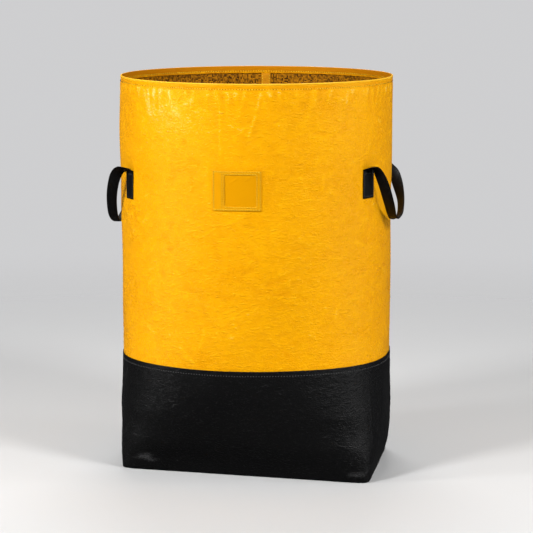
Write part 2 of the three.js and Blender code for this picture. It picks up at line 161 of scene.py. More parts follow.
LEFT_STRAP = np.array([
    (0.05, -1.02, 0.47, -0.009, -0.93, -0.22, 0.36, 0.60),
    (0.10, -1.01, 0.93, -0.013, -0.71, 0.51, 0.43, 0.15),
    (0.20, -0.97, 1.33, 0.140, -0.09, 0.95, 0.34, 0.00),
    (0.30, -0.74, 1.13, 0.464, 0.11, 0.94, 0.32, 0.00),
    (0.40, -0.29, 0.69, 0.832, 0.04, 0.95, 0.32, 0.00),
    (0.50, 0.19, 0.62, 0.972, 0.04, 1.00, -0.07, 0.00),
    (0.60, 0.53, 0.99, 0.902, 0.09, 0.97, 0.08, 0.00),
    (0.70, 0.75, 1.07, 0.680, 0.32, 0.94, 0.10, 0.00),
    (0.80, 0.90, 0.93, 0.363, 0.69, 0.73, -0.06, 0.00),
    (0.90, 1.01, 0.73, 0.067, 0.95, 0.16, -0.28, 0.15),
    (0.95, 1.03, 0.48, -0.011, 0.95, -0.18, -0.29, 0.60),
])

# Single creases of the yellow wall: each end's place round the sack and its height in mm, then the half
# width and how far out in mm.
UPPER_CREASES = np.array([
    (-6.8, 846, -6.8, 690, 2.4, 1.0),
    (9.6, 850, 8.0, 806, 2.6, 1.2),
    (8.0, 806, 4.4, 748, 3.0, 1.3),
    (10.0, 836, 8.6, 800, 3.0, -0.4),
    (-52, 850, -34, 716, 12.0, -0.8),
    (-46, 850, -40, 780, 7.0, 0.7),
    (-30, 800, -12, 770, 5.0, 0.35),
    (-26, 735, -12, 722, 4.0, -0.35),
    (34, 846, 26, 770, 6.0, 0.5),
    (52, 850, 44, 740, 8.0, -0.6),
    (-70, 600, -52, 520, 9.0, 0.7),
    (-28, 430, 6, 400, 8.0, -0.5),
    (20, 560, 44, 500, 8.0, 0.5),
    (66, 590, 58, 500, 9.0, -0.7),
    (140, 800, 170, 700, 9.0, 0.8),
    (-150, 760, -128, 640, 9.0, -0.8),
    (175, 600, 205, 540, 10.0, 0.7),
    (120, 520, 146, 430, 9.0, -0.7),
])

# Single creases of the black wall, most of them at the corners.
LOWER_CREASES = np.array([
    (-66, 236, -62, 40, 3.5, 1.1),
    (-60, 236, -59, 130, 3.0, -0.8),
    (-64, 150, -50, 78, 3.0, 1.0),
    (-56, 96, -50, 20, 4.0, -0.8),
    (-58, 60, -44, 14, 3.0, 0.8),
    (-40, 34, -30, 20, 3.0, 0.7),
    (66, 236, 60, 60, 3.5, 1.1),
    (72, 210, 62, 30, 4.0, -0.9),
    (58, 200, 54, 60, 3.5, 0.8),
    (58, 60, 44, 12, 3.0, 0.9),
    (50, 30, 38, 16, 2.5, 0.7),
    (112, 230, 124, 40, 5.0, 1.1),
    (130, 180, 134, 30, 4.0, -1.0),
    (-118, 230, -128, 40, 5.0, 1.1),
    (-134, 190, -132, 30, 4.0, -1.0),
    (-20, 120, 10, 96, 7.0, -0.6),
    (14, 70, 34, 52, 6.0, 0.5),
    (160, 150, 200, 110, 8.0, 0.8),
])

# Short creases scattered over the walls: seed, count, then the ranges of height, length, half width and
# how far out in mm, and the most slant from level in degrees.
UPPER_SMALL = (11, 460, (252, 830), (14, 50), (2.2, 4.5), (0.25, 0.75), 45)
UPPER_STEEP = (12, 130, (300, 840), (20, 60), (3.0, 6.0), (0.25, 0.70), 130)
LOWER_SMALL = (21, 300, (6, 232), (12, 44), (2.2, 4.5), (0.20, 0.70), 60)
LOWER_CORNERS = (22, 90, (6, 70), (10, 26), (1.6, 3.0), (0.2, 0.5), 70)

# Painted light on the yellow cloth: sheen patches painted as highlight, and with a minus sign the painted
# shade of the band under the mouth's edge. Columns: place round the sack, height in mm, half width in
# degrees, half height in mm, lean in degrees for 100 mm down, and how pale, or with a minus sign how dark.
UPPER_PAINTED_LIGHT = (
    (0, 858, 400, 5, 0.0, -0.40),
    (-36, 806, 15, 80, 9.0, 0.66),
    (-24, 800, 16, 70, 2.0, 0.22),
    (-15, 812, 3, 40, 2.0, 0.35),
    (-3, 775, 4, 62, 0.0, 0.32),
    (50, 842, 8, 34, 3.0, 0.35),
    (30, 640, 12, 50, -4.0, 0.16),
    (-40, 560, 10, 70, 3.0, 0.15),
    (34, 430, 14, 60, 2.0, 0.15),
    (150, 760, 16, 60, 4.0, 0.35),
    (-130, 700, 14, 70, -5.0, 0.35),
)

# The same for the black cloth: painted highlight on crumpled corners near the ground and painted sheen
# streaks along the sides.
LOWER_PAINTED_SHEEN = (
    (-38.5, 32, 2.6, 9, -10.0, 2.6),
    (-36, 24, 1.6, 5, 0.0, 2.2),
    (43, 17, 3.0, 7, -8.0, 2.2),
    (-58.5, 200, 1.6, 44, -6.0, 0.9),
    (-48, 96, 1.8, 34, -12.0, 0.8),
    (-32, 190, 9, 50, 0.0, 0.70),
    (36, 90, 6, 60, 0.0, 0.25),
    (81, 165, 3, 66, 0.0, 0.55),
    (68, 60, 3, 30, 6.0, 0.5),
    (150, 120, 10, 60, 0.0, 0.3),
    (-128, 90, 8, 50, 0.0, 0.3),
)

# The same for the hem: its lower part on the inside lies flatter and faces the light, and is painted
# paler as painted highlight.
HEM_PAINTED_LIGHT = ((0, 851, 400, 6, 0.0, 1.6),)

# Light from the surroundings, how bright they look behind the sack, and the ceiling's power and width in
# degrees.
WORLD_LIGHT = (0.04, 0.04, 0.042, 1)
WORLD_SEEN = (0.62, 0.62, 0.63, 1)
CEILING_POWER, CEILING_WIDTH = 0.4, 120

# Half width of the floor, and how far from the middle it begins and ends to fade.
FLOOR_REACH, FLOOR_FADE = 4.0, (0.9, 3.6)

# Camera: turn round the sack in degrees from the front towards +X, distance to the right of the sack's
# middle and back from it, height, tilt up from straight down in degrees, and lens and sensor in mm.
CAMERA_TURN = 8.0
CAMERA_ACROSS, CAMERA_BACK, CAMERA_HEIGHT = 0.0213, 5.890, 1.260
CAMERA_TILT = 82.027
LENS, SENSOR = 178.99, 36

# Lights: turn from the camera in degrees, then distance, height, width and height of the panel, and power
# in W. They face the sack at LIGHT_AIM above the floor.
LIGHT_AIM = 0.45
LIGHTS = (
    ("left_strip", -70, 2.4, 1.0, 0.35, 2.2, 30),
    ("right_strip", 80, 2.4, 1.0, 0.35, 2.2, 18),
    ("left_key", -46, 3.4, 3.0, 0.8, 0.8, 120),
    ("right_key", 40, 3.4, 2.8, 0.8, 0.8, 110),
    ("back_fill", 180, 2.6, 4.0, 1.8, 1.2, 100),
)


def length(name, description, value):
    """A length that a user can change."""
    return bpy.props.FloatProperty(name=name, description=description, default=value, unit="LENGTH")


def colour(name, description, *value):
    """An opaque colour that a user can change."""
    return bpy.props.FloatVectorProperty(
        name=name, description=description, default=(*value, 1), subtype="COLOR", size=4)


class SackSizes(bpy.types.PropertyGroup):
    """Sizes that a user would change."""

    lower_height: length(
        "Black cloth height", "Height of the lower cloth's folded edge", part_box("lower_wall")[1][2])
    lap: length("Lap", "How far the lower cloth covers the upper one", 15 * MM)
    hem_depth: length("Hem depth", "Depth of the hem folded to the inside", 17 * MM)
    hem_stitch: length("Hem stitch line", "From the edge down to the stitch line", 12 * MM)
    lap_stitch: length("Lap stitch line", "From the folded edge down to the stitch line", 10.5 * MM)
    stitch_pitch: length("Stitch pitch", "From one stitch to the next", 6 * MM)
    thread: length("Thread", "Thickness of the sewing thread", 1.3 * MM)
    tape_width: length("Seam tape width", "Width of the tape inside the back", 22 * MM)
    patch_width: length("Patch width", "Width of the patch on the front", 106 * MM)
    patch_height: length("Patch height", "Height of the patch on the front", 86 * MM)
    patch_centre: length("Patch centre", "Height of the patch's middle", 638 * MM)
    window_size: length("Window", "Width and height of the patch's window", 67 * MM)
    window_shift: length("Window shift", "How far the window is to the right", 7.5 * MM)
    webbing_width: length("Webbing width", "Width of the handles where they are sewn", 40 * MM)
    webbing_thickness: length("Webbing thickness", "Thickness of one layer of webbing", 2 * MM)
    grip_width: length("Grip width", "Width of the folded grip", 25 * MM)
    right_handle_top: length("Right handle top", "Height of its sewn ends' tops", 672 * MM)
    right_handle_drop: length("Right handle drop", "How far its loop hangs", 134 * MM)
    left_handle_top: length("Left handle top", "Height of its sewn ends' tops", 664 * MM)
    left_handle_drop: length("Left handle drop", "How far its loop hangs", 138 * MM)


class SackColours(bpy.types.PropertyGroup):
    """Colours that a user would change."""

    yellow: colour("Yellow cloth", "Coated upper cloth", 0.90, 0.418, 0.0006)
    # Painted shade: the yellow cloth darkened where the relief sinks into folds, also used for random darker
    # mottling.
    yellow_fold: colour("Yellow folds", "Upper cloth down in its folds", 0.76, 0.30, 0.001)
    # Painted highlight: the yellow cloth paled on ridges and in the sheen patches, also used for random paler
    # mottling.
    yellow_worn: colour("Yellow cloth, creased", "Upper cloth along its creases", 1.0, 0.78, 0.25)
    # Painted shade: the inner face is a dark brown for the shade inside the sack, and its near-black tapes
    # are painted shadow in the weave.
    weave: colour("Bare weave", "Uncoated inner face of the upper cloth", 0.56, 0.22, 0.004)
    weave_dark: colour("Bare weave, dark", "Darkest tapes of the inner face", 0.035, 0.010, 0.001)
    window: colour("Patch window", "Smooth cloth of the patch", 0.68, 0.285, 0.0005)
    border: colour("Patch border", "Raised border round the patch's window", 0.76, 0.325, 0.0005)
    # Painted highlight: the rounded top of the mouth is given a paler yellow for the light that falls on it.
    rim: colour("Rim", "Edge of the mouth, worn pale", 0.97, 0.56, 0.035)
    # Painted shade: the hem inside the mouth is the yellow cloth darkened for the shade it lies in.
    hem_shade: colour("Inner hem", "Hem folded to the inside, which shows darker", 0.54, 0.19, 0.002)
    tape: colour("Seam tape", "Tape inside the back", 0.72, 0.30, 0.010)
    yellow_thread: colour("Yellow thread", "Thread of the hem and the patch", 1.0, 0.74, 0.05)
    black: colour("Black cloth", "Coated lower cloth", 0.0048, 0.0048, 0.0050)
    # Painted highlight on the black cloth's ridges, crumples and side streaks, also its random paler mottling
    # and the paler tapes of its inner face.
    black_worn: colour("Black cloth, creased", "Lower cloth along its creases", 0.044, 0.044, 0.045)
    # Painted shade: dark beads between the stitches where the thread sinks into the cloth.
    needle_hole: colour("Needle hole", "Between the stitches of the hem and the patch", 0.13, 0.028, 0.0001)
    black_thread: colour("Black thread", "Thread of the lap and the handles", 0.14, 0.14, 0.14)
    webbing: colour("Webbing", "Handles", 0.0042, 0.0042, 0.0044)
    webbing_scuff: colour("Webbing, scuffed", "Handles where they are rubbed", 0.012, 0.012, 0.012)
    floor: colour("Floor", "Floor under the sack", 0.56, 0.56, 0.56)


# Shapes


def read_table(rows, place):
    """Every column after the first, at each place in the first one.

    A cubic Hermite curve runs through the rows. Its slope at a row is that between the rows on both sides, or
    at an end row that to its one neighbour.
    """
    key, values = rows[:, 0], rows[:, 1:]
    last = len(key) - 1
    low = np.clip(np.searchsorted(key, place, side="left") - 1, 0, last - 1)
    before, high, after = np.maximum(low - 1, 0), low + 1, np.minimum(low + 2, last)
    span = key[high] - key[low]
    share = np.clip((place - key[low]) / span, 0, 1)[..., None]
    start = (values[high] - values[before]) * (span / (key[high] - key[before]))[..., None]
    end = (values[after] - values[low]) * (span / (key[after] - key[low]))[..., None]
    square, cube = share ** 2, share ** 3
    return (
        (2 * cube - 3 * square + 1) * values[low]
        + (cube - 2 * square + share) * start
        + (3 * square - 2 * cube) * values[high]
        + (cube - square) * end
    )


def section_point(around, height):
    """Level section: a superellipse in polar form, sheared towards the front and shifted in x."""
    half_x, half_y, power, rack, shift = np.moveaxis(read_table(SECTIONS, height / HEIGHT), -1, 0)
    angle = np.radians(around - 90)
    cosine, sine = np.cos(angle), np.sin(angle)
    reach = (np.abs(cosine) ** power + np.abs(sine) ** power) ** (-1 / power)
    x = half_x * MOUTH_RADIUS * reach * cosine
    y = half_y * MOUTH_RADIUS * reach * sine - rack * x
    return x + shift * MOUTH_RADIUS, y


def wall_out(around, height):
    """Level outward direction: the section's run between two near places, turned to the right."""
    near = 0.47
    before = section_point(around - near, height)
    after = section_point(around + near, height)
    run_x, run_y = after[0] - before[0], after[1] - before[1]
    length = np.hypot(run_x, run_y)
    return np.stack([run_y / length, -run_x / length, np.zeros_like(length)], axis=-1)


def dent_at(around, height):
    """Sum of the table's dents, each falling off as the exponential of minus its squared distance."""
    centre, at, wide, tall, out = DENTS.T
    across = turn_between(around[..., None], centre) / wide
    upright = (height[..., None] / HEIGHT - at) / tall
    return MM * np.sum(out * np.exp(-across ** 2 - upright ** 2), axis=-1)


def turn_between(a, b):
    """Smallest turn from b to a."""
    return (a - b + 180) % 360 - 180


def sag_at(around, height):
    """How far the walls hang down: a bell round the sack, times a smooth step up to the lap and one down."""
    below = rise(height, 0, LOWER_HEIGHT)
    above = 1 - rise(height, LOWER_HEIGHT, SAG_TOP)
    return SAG * below * above * np.exp(-(turn_between(around, SAG_TURN) / SAG_WIDE) ** 2)


def wall_point(around, height, offset):
    """The section's point, moved outwards by the offset and the dents. The yellow face has offset 0."""
    around, height, offset = np.broadcast_arrays(around, height, offset)
    x, y = section_point(around, height)
    move = (offset + dent_at(around, height))[..., None]
    return np.stack([x, y, height - sag_at(around, height)], axis=-1) + move * wall_out(around, height)


def arc(distance):
    """Degrees round the sack that a level distance along the wall takes."""
    return np.degrees(distance / MOUTH_RADIUS)


def rise(value, low, high):
    """0 below low, 1 above high, and the smooth cubic step between them."""
    share = np.clip((value - low) / (high - low), 0, 1)
    return share * share * (3 - 2 * share)


def creases(around, height, table):
    """Ridges along straight lines on the unrolled wall, summed one after another to spare memory.

    Each has a bell-shaped section across its line and fades to nothing over the last fifth at both ends.
    """
    around, height = np.broadcast_arrays(around, height)
    total = np.zeros(around.shape)
    for around_a, height_a, around_b, height_b, wide, out in table:
        across_place = np.radians(turn_between(around, around_a)) * MOUTH_RADIUS / MM
        up_place = height / MM - height_a
        run = np.array([math.radians(around_b - around_a) * MOUTH_RADIUS / MM, height_b - height_a])
        length = math.hypot(*run)
        run_across, run_up = run / length
        share = (across_place * run_across + up_place * run_up) / length
        across = across_place * run_up - up_place * run_across
        near = (np.abs(across) < 3 * wide) & (share > 0) & (share < 1)
        share, across = share[near], across[near]
        ends = rise(share, 0, 0.2) * rise(-share, -1, -0.8)
        total[near] += MM * out * ends * np.exp(-(across / wide) ** 2)
    return total


def scattered_creases(seed, count, heights, length, wide, out, slant):
    """Table of short creases at seeded random places, at up to the slant in degrees from level."""
    draw = np.random.default_rng(seed)
    around = draw.uniform(-180, 180, count)
    height = draw.uniform(*heights, count)
    reach = draw.uniform(*length, count) / 2
    turn = np.radians(draw.uniform(-slant, slant, count))
    width = draw.uniform(*wide, count)
    depth = draw.uniform(*out, count) * draw.choice([-1, 1], count)
    across = np.degrees(reach * np.cos(turn) * MM / MOUTH_RADIUS)
    upright = reach * np.sin(turn)
    return np.stack(
        [around - across, height - upright, around + across, height + upright, width, depth], axis=-1)


def hem_wave(around):
    """Slight waves of the stiff mouth: three sines with different counts round the sack."""
    turn = np.radians(around)
    return MM * (0.35 * np.sin(7 * turn + 1) + 0.25 * np.sin(13 * turn + 2) + 0.15 * np.sin(31 * turn))


def puckers(around, height, top):
    """Gathers under a stitch line: narrow ridges that swell just below it and fade further down.

    Down from the line a ridge follows t times the exponential of 1 - t, with t the depth over its own reach.
    """
    draw = np.random.default_rng(5)
    count = 84
    centre = np.linspace(-180, 180, count, endpoint=False) + draw.uniform(-1.7, 1.7, count)
    reach = draw.uniform(6, 15, count) * MM
    wide = draw.uniform(3.0, 6.5, count) * MM
    lean = draw.uniform(-0.28, 0.28, count)
    out = draw.uniform(0.4, 1.8, count) * MM
    depth = np.maximum(top - height, 0)
    total = np.zeros(around.shape)
    for at, far, width, slant, swell in zip(centre, reach, wide, lean, out):
        across = np.radians(turn_between(around, at)) * MOUTH_RADIUS - slant * depth
        down = depth / far
        total += swell * down * np.exp(1 - down - (across / width) ** 2)
    return total


def buckles(around, height):
    """Slow waves of the thin cloth: sines of two directions on the unrolled wall."""
    turn, level = np.radians(around), height / HEIGHT
    return MM * (
        0.50 * np.sin(5 * turn + 9 * level + 1.3)
        + 0.40 * np.sin(8 * turn - 14 * level + 0.4)
        + 0.28 * np.sin(13 * turn + 21 * level)
        + 0.20 * np.sin(3 * turn - 33 * level + 2.0)
    )


def clear_of_patch(around, height, sizes):
    """0 under the patch, so that the cloth lies flat there, rising to 1 a little way beyond its edges."""
    across = np.abs(np.radians(turn_between(around, 0.0))) * MOUTH_RADIUS - sizes.patch_width / 2
    up = np.abs(height - sizes.patch_centre) - sizes.patch_height / 2
    return rise(np.maximum(across, up), -3 * MM, 14 * MM)


def upper_relief(around, height, sizes):
    """What the yellow cloth's face adds to the smooth wall: puckers, creases and the sunk stitch line."""
    line = HEIGHT - sizes.hem_stitch
    calm = rise(HEIGHT - height, 10 * MM, 45 * MM)
    scattered = np.concatenate([scattered_creases(*UPPER_SMALL), scattered_creases(*UPPER_STEEP)])
    sunk = -0.8 * MM * np.exp(-((height - line) / (2.5 * MM)) ** 2)
    total = (
        puckers(around, height, line)
        + calm * creases(around, height, scattered)
        + creases(around, height, UPPER_CREASES) * rise(HEIGHT - height, 12 * MM, 20 * MM)
        + sunk
    )
    return soft_floor(total, 0.9 * MM)


def soft_floor(value, depth):
    """Value kept above minus the depth: below 0 it bends over as the hyperbolic tangent."""
    return np.where(value < 0, depth * np.tanh(value / depth), value)


def lower_relief(around, height, sizes):
    """What the black cloth's face adds: crumples, corner creases, the sunk lap line and short puckers."""
    line = sizes.lower_height - sizes.lap_stitch
    small = creases(around, height, scattered_creases(*LOWER_SMALL))
    near_corner = creases(around, height, scattered_creases(*LOWER_CORNERS)) * corner_share(around)
    sunk = -0.3 * MM * np.exp(-((height - line) / (1.5 * MM)) ** 2)
    below = rise(line - height, 0, 12 * MM)
    total = (
        0.3 * puckers(around, height, line)
        + below * (small + near_corner + creases(around, height, LOWER_CREASES))
        + sunk
    )
    return soft_floor(total, 1.1 * MM)


def corner_share(around):
    """1 at the four corners of the base and 0 between them: a bell over the turn from each corner."""
    corners = np.array([-54, 54, 126, -126])
    return np.sum(np.exp(-(turn_between(around[..., None], corners) / 13) ** 2), axis=-1)


def creased(flat):
    """Two faint slanting creases near the window's top, as bell-shaped ridges along lines in mm."""
    ends = np.array([(-18, 12, 4, 30, 1.8), (16, 20, 30, 31, 1.5)], dtype=float)
    total = np.zeros(flat.shape[:-1])
    for left, low, right, high, wide in ends:
        run = np.array([right - left, high - low])
        length = np.hypot(*run)
        run = run / length
        away = flat - (left, low)
        along = away @ run
        across = away[..., 0] * run[1] - away[..., 1] * run[0]
        total += rise(along, 0, 4) * rise(-along, -length, 4 - length) * np.exp(-(across / wide) ** 2)
    return total


def handle_places(sizes):
    """Name, side, top, drop, half span, stand-off and table of each handle."""
    return (
        ("handle_right", 1, sizes.right_handle_top, sizes.right_handle_drop, RIGHT_HALF_SPAN, RIGHT_STAND_OFF,
         RIGHT_STRAP),
        ("handle_left", -1, sizes.left_handle_top, sizes.left_handle_drop, LEFT_HALF_SPAN, LEFT_STAND_OFF,
         LEFT_STRAP),
    )


def sewn_place(side, end, half_span):
    """Place round the sack of a sewn end; end is 1 in front and -1 behind."""
    return side * (90 - end * np.degrees(np.arcsin(half_span / MOUTH_RADIUS)))


def sewn_end(side, end, height, half_span, sizes):
    """Middle, width run and bow of the webbing where it lies on the wall."""
    around = sewn_place(side, end, half_span)
    lift = CLEARANCE + sizes.webbing_thickness / 2
    reach = arc(side * end * sizes.webbing_width / 2)
    centre = wall_point(around, height, lift)
    lower, upper = wall_point(around + reach, height, lift), wall_point(around - reach, height, lift)
    return centre, upper - lower, (upper + lower) / 2 - centre


def handle_stations(side, top, drop, half_span, stand_off, strap, sizes):
    """Middle line, width run, bow and thickness along a handle.

    The ends lie on the wall. The loop is the smooth curve through the strap's table, placed from the wall
    beside each row.
    """
    share, along, out, down, run_along, run_out, run_up, flat = strap.T
    beside = side * (90 + np.degrees(np.arcsin(along * half_span / MOUTH_RADIUS)))
    wall = wall_point(beside, top - drop / 2, 0.0)[:, 0]
    spare = sizes.webbing_width - sizes.grip_width
    rows = np.stack([
        share, wall + side * out * stand_off, along * half_span, top - down * drop,
        side * run_out, run_along, run_up, sizes.grip_width + flat * spare,
    ], axis=-1)
    ends = []
    for end, place in ((1, 0.0), (-1, 1.0)):
        centre, run, _ = sewn_end(side, end, top, half_span, sizes)
        ends.append(np.concatenate([[place], centre, run / sizes.webbing_width, [sizes.webbing_width]]))
    table = np.concatenate([ends[:1], rows, ends[1:]])
    loop_steps, sewn_steps = 181, 16
    loop = read_table(table, np.linspace(0, 1, loop_steps)[1:-1])
    turn = loop[:, 3:6] / np.linalg.norm(loop[:, 3:6], axis=1, keepdims=True)
    heights = np.linspace(top - HANDLE_SEWN, top, sewn_steps)
    front = sewn_end(side, 1, heights, half_span, sizes)
    back = sewn_end(side, -1, heights[::-1], half_span, sizes)
    centre = np.concatenate([front[0], loop[:, :3], back[0]])
    run = np.concatenate([front[1], turn * loop[:, 6:7], back[1]])
    bow = np.concatenate([front[2], np.zeros_like(turn), back[2]])
    folded = 1 - (loop[:, 6] - sizes.grip_width) / spare
    thick = sizes.webbing_thickness * (1 + 0.7 * np.clip(folded, 0, 1))
    flat_ends = np.full(sewn_steps, sizes.webbing_thickness)
    return centre, run, bow, np.concatenate([flat_ends, thick, flat_ends])


# Meshes


def grid_faces(rows, columns, join_rows, join_columns):
    """Four-sided faces of a grid as (row, column) corners; a joined direction goes back to its start."""
    row = np.arange(rows if join_rows else rows - 1)
    column = np.arange(columns if join_columns else columns - 1)
    r, c = (index.ravel() for index in np.meshgrid(row, column, indexing="ij"))
    corners = [(r, c), (r, c + 1), (r + 1, c + 1), (r + 1, c)]
    return np.array(corners).transpose(2, 0, 1)


def new_piece(name, points, faces, uv, finishes, face_finish=None, slot=None, stands_for=(), rub=None):
    """Object at the origin from points, faces as index lists and one UV pair a face corner.

    The last argument gives each point its painted light: above 0 a painted highlight, below 0 painted shade,
    as in a fold.
    """
    mesh = bpy.data.meshes.new(name)
    mesh.from_pydata(points.tolist(), [], faces)
    layer = mesh.uv_layers.new(name="cloth")
    layer.data.foreach_set("uv", np.asarray(uv, dtype=np.float32).ravel())
    for finish in finishes:
        mesh.materials.append(finish)
    if rub is not None:
        values = mesh.attributes.new("rub", "FLOAT", "POINT")
        values.data.foreach_set("value", rub.astype(np.float32).ravel())
    if face_finish is not None:
        mesh.polygons.foreach_set("material_index", np.asarray(face_finish, dtype=np.int32))
    mesh.shade_smooth()
    mesh.update()
    piece = bpy.data.objects.new(name, mesh)
    bpy.context.scene.collection.objects.link(piece)
    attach(piece, "root")
    if stands_for:
        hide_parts(*stands_for)


def grid_piece(name, points, uv, join_rows, finishes, cap_ends=False, row_finish=None, **links):
    """Piece from a grid of points (row, column, xyz) whose columns close round.

    uv has one more column, and one more row where the rows join. cap_ends closes the first and last row with
    a flat face.
    """
    rows, columns = points.shape[:2]
    corners = grid_faces(rows, columns, join_rows, True)
    index = (corners[..., 0] % rows) * columns + corners[..., 1] % columns
    faces = index.tolist()
    loops = uv[corners[..., 0], corners[..., 1]].reshape(-1, 2)
    finish = None if row_finish is None else np.asarray(row_finish)[corners[:, 0, 0]]
    if cap_ends:
        ring = np.arange(columns)
        faces += [ring[::-1].tolist(), (ring + (rows - 1) * columns).tolist()]
        loops = np.concatenate([loops, np.zeros((2 * columns, 2))])
        finish = None if finish is None else np.append(finish, [row_finish[0], row_finish[-1]])
    new_piece(name, points.reshape(-1, 3), faces, loops, finishes, finish, **links)


def places_round(columns):
    """Even places round the sack, which start at the back seam."""
    return TAPE_AROUND - 360 + np.arange(columns) * 360 / columns


def wall_uv(around, offsets, heights):
    """UV in metres: across is the arc along the wall, up is the running length of the profile."""
    run = np.hypot(np.diff(offsets, append=offsets[:1]), np.diff(heights, append=heights[:1]))
    up = np.concatenate([[0], np.cumsum(run)])
    across = np.radians(np.append(around, around[0] + 360)) * MOUTH_RADIUS
    return np.stack(np.meshgrid(across, up), axis=-1)


def ring_piece(name, offsets, heights, relief, finishes, row_finish, light_patches, **links):
    """Closed ring: the profile of offsets and heights is carried round the wall."""
    around = places_round(WALL_COLUMNS)
    lift = relief(around[None, :], heights)
    points = wall_point(around[None, :], heights[:, None], offsets[:, None] + lift)
    # Painted light: shade in folds and highlight on ridges from the relief, plus the table's painted patches.
    rub = painted_relief_light(lift) + painted_light_patches(around[None, :], heights[:, None], light_patches)
    uv = wall_uv(around, offsets, heights)
    grid_piece(name, points, uv, True, finishes, row_finish=row_finish, rub=rub, **links)


def painted_relief_light(lift):
    """Painted light: the relief less its mean nearby, in mm, as painted highlight on ridges and shade in
    folds.
    """
    mean = lift
    for _ in range(PAINTED_LIGHT_SPREAD):
        mean = sum(np.roll(mean, step, axis) for axis in (1, 0) for step in (1, -1)) / 4
    return np.clip((lift - mean) / MM, -1, 1)


def painted_light_patches(around, height, light_patches):
    """Painted highlight and shade patches of the table: flat-topped bells that lean across the wall as they
    go down.
    """
    total = np.zeros(np.broadcast_shapes(around.shape, height.shape))
    for centre, middle, wide, tall, lean, amount in light_patches:
        down = middle * MM - height
        across = turn_between(around, centre + lean * down * 10) / wide
        total += amount * np.exp(-across ** 4 - (down / (tall * MM)) ** 2)
    return total


def arc_steps(centre, radius, start, end):
    """Offsets and heights on a circular arc, angles in degrees from outwards towards up."""
    angle = np.radians(np.linspace(start, end, BEND_STEPS))
    return centre[0] + radius * np.cos(angle), centre[1] + radius * np.sin(angle)


def threads(name, centre, along, out, thread, finish, slot):
    """Rows of short stitches as one mesh.

    A stitch is a bead along its direction: rings of six points that narrow to its ends, bent so that the ends
    dip into the cloth by the square of their distance from the middle.
    """
    share = np.array([-0.5, -0.4, 0, 0.4, 0.5])
    radius = np.array([0.3, 0.85, 1, 0.85, 0.3]) * thread / 2
    turn = np.radians(np.arange(6) * 60)
    dip = 2.2 * thread
    side = np.cross(along / np.linalg.norm(along, axis=-1, keepdims=True), out)
    rings, sides = len(share), len(turn)
    bead = (
        centre[:, None, None]
        + share[:, None, None] * along[:, None, None]
        + (radius[:, None] * np.sin(turn))[..., None] * out[:, None, None]
        + (radius[:, None] * np.cos(turn))[..., None] * side[:, None, None]
        - (dip * share[:, None, None] ** 2) * out[:, None, None]
    )
    corners = grid_faces(rings, sides, False, True)
    quads = corners[..., 0] * sides + corners[..., 1] % sides
    start = (np.arange(len(centre)) * rings * sides)[:, None]
    body = (quads.reshape(1, -1) + start).reshape(-1, 4).tolist()
    first = (np.arange(sides)[::-1] + start).tolist()
    last = (np.arange(sides) + (rings - 1) * sides + start).tolist()
    points = bead.reshape(-1, 3)
    uv = np.zeros((4 * len(body) + 2 * sides * len(centre), 2))
    new_piece(name, points, body + first + last, uv, [finish], slot=slot)


def hole_shadows(rows, size):
    """Painted shade between the stitches, where the thread sinks in: short dark beads half a pitch further
    along.
    """
    centre, along, out = rows
    run = along / np.linalg.norm(along, axis=-1, keepdims=True)
    half_pitch, length = 0.81 * along, 0.8 * size
    return np.stack([centre + half_pitch, length * run, out])


def wall_stitches(around, height, offset, upright, pitch):
    """Centre, direction and outward side of stitches that lie level or upright on the wall."""
    places = np.broadcast_arrays(around, height, offset)
    around, height, offset = (np.asarray(values, dtype=float).ravel() for values in places)
    half = pitch * STITCH_FILL / 2
    turn, lift = (0, half) if upright else (arc(half), 0)
    start = wall_point(around - turn, height - lift, offset)
    end = wall_point(around + turn, height + lift, offset)
    return np.stack([(start + end) / 2, end - start, wall_out(around, height)])


def even(start, end, pitch):
    """Stitch middles at about that pitch from start to end."""
    count = max(int(round(abs(end - start) / pitch)), 1)
    return start + (np.arange(count) + 0.5) * (end - start) / count


def level_line(left, right, height, offset, pitch, centre=0.0):
    """Stitches along a level line between two distances from a place round the sack."""
    distance = even(left, right, pitch)
    return wall_stitches(centre + arc(distance), height, offset, False, pitch)


def upright_line(distance, foot, top, offset, pitch, centre=0.0):
    """Stitches along an upright line at a distance from a place round the sack."""
    height = even(foot, top, pitch)
    return wall_stitches(centre + arc(distance), height, offset, True, pitch)


def stitch_box(left, right, foot, top, offset, pitch, centre=0.0):
    """Stitches round a rectangle on the wall."""
    return np.concatenate([
        level_line(left, right, foot, offset, pitch, centre),
        level_line(left, right, top, offset, pitch, centre),
        upright_line(left, foot, top, offset, pitch, centre),
        upright_line(right, foot, top, offset, pitch, centre),
    ], axis=1)


# Finishes


def paired(operation):
    """The plain and the reflected method of an operator with two operands."""
    def plain(self, other):
        return self.math(operation, self, other)

    def reflected(self, other):
        return self.math(operation, other, self)

    return plain, reflected


class Wire:
    """A node's output socket. Each operator on it adds one Math node."""

    __add__, __radd__ = paired("ADD")
    __sub__, __rsub__ = paired("SUBTRACT")
    __mul__, __rmul__ = paired("MULTIPLY")
    __truediv__, __rtruediv__ = paired("DIVIDE")
    __pow__, __rpow__ = paired("POWER")

    def __init__(self, finish, socket):
        self.finish = finish
        self.socket = socket

    def __abs__(self):
        return self.math("ABSOLUTE", self)

    def math(self, operation, *values):
        """Math node on these values, in order."""
        return self.finish.node("ShaderNodeMath", {"operation": operation}, dict(enumerate(values)))

    def floor(self):
        """Whole number below."""
        return self.math("FLOOR", self)

    def part(self):
        """What is left above the whole number below."""
        return self.math("FRACT", self)

    def clipped(self):
        """The value kept between 0 and 1."""
        return self.math("MINIMUM", self.math("MAXIMUM", self, 0.0), 1.0)


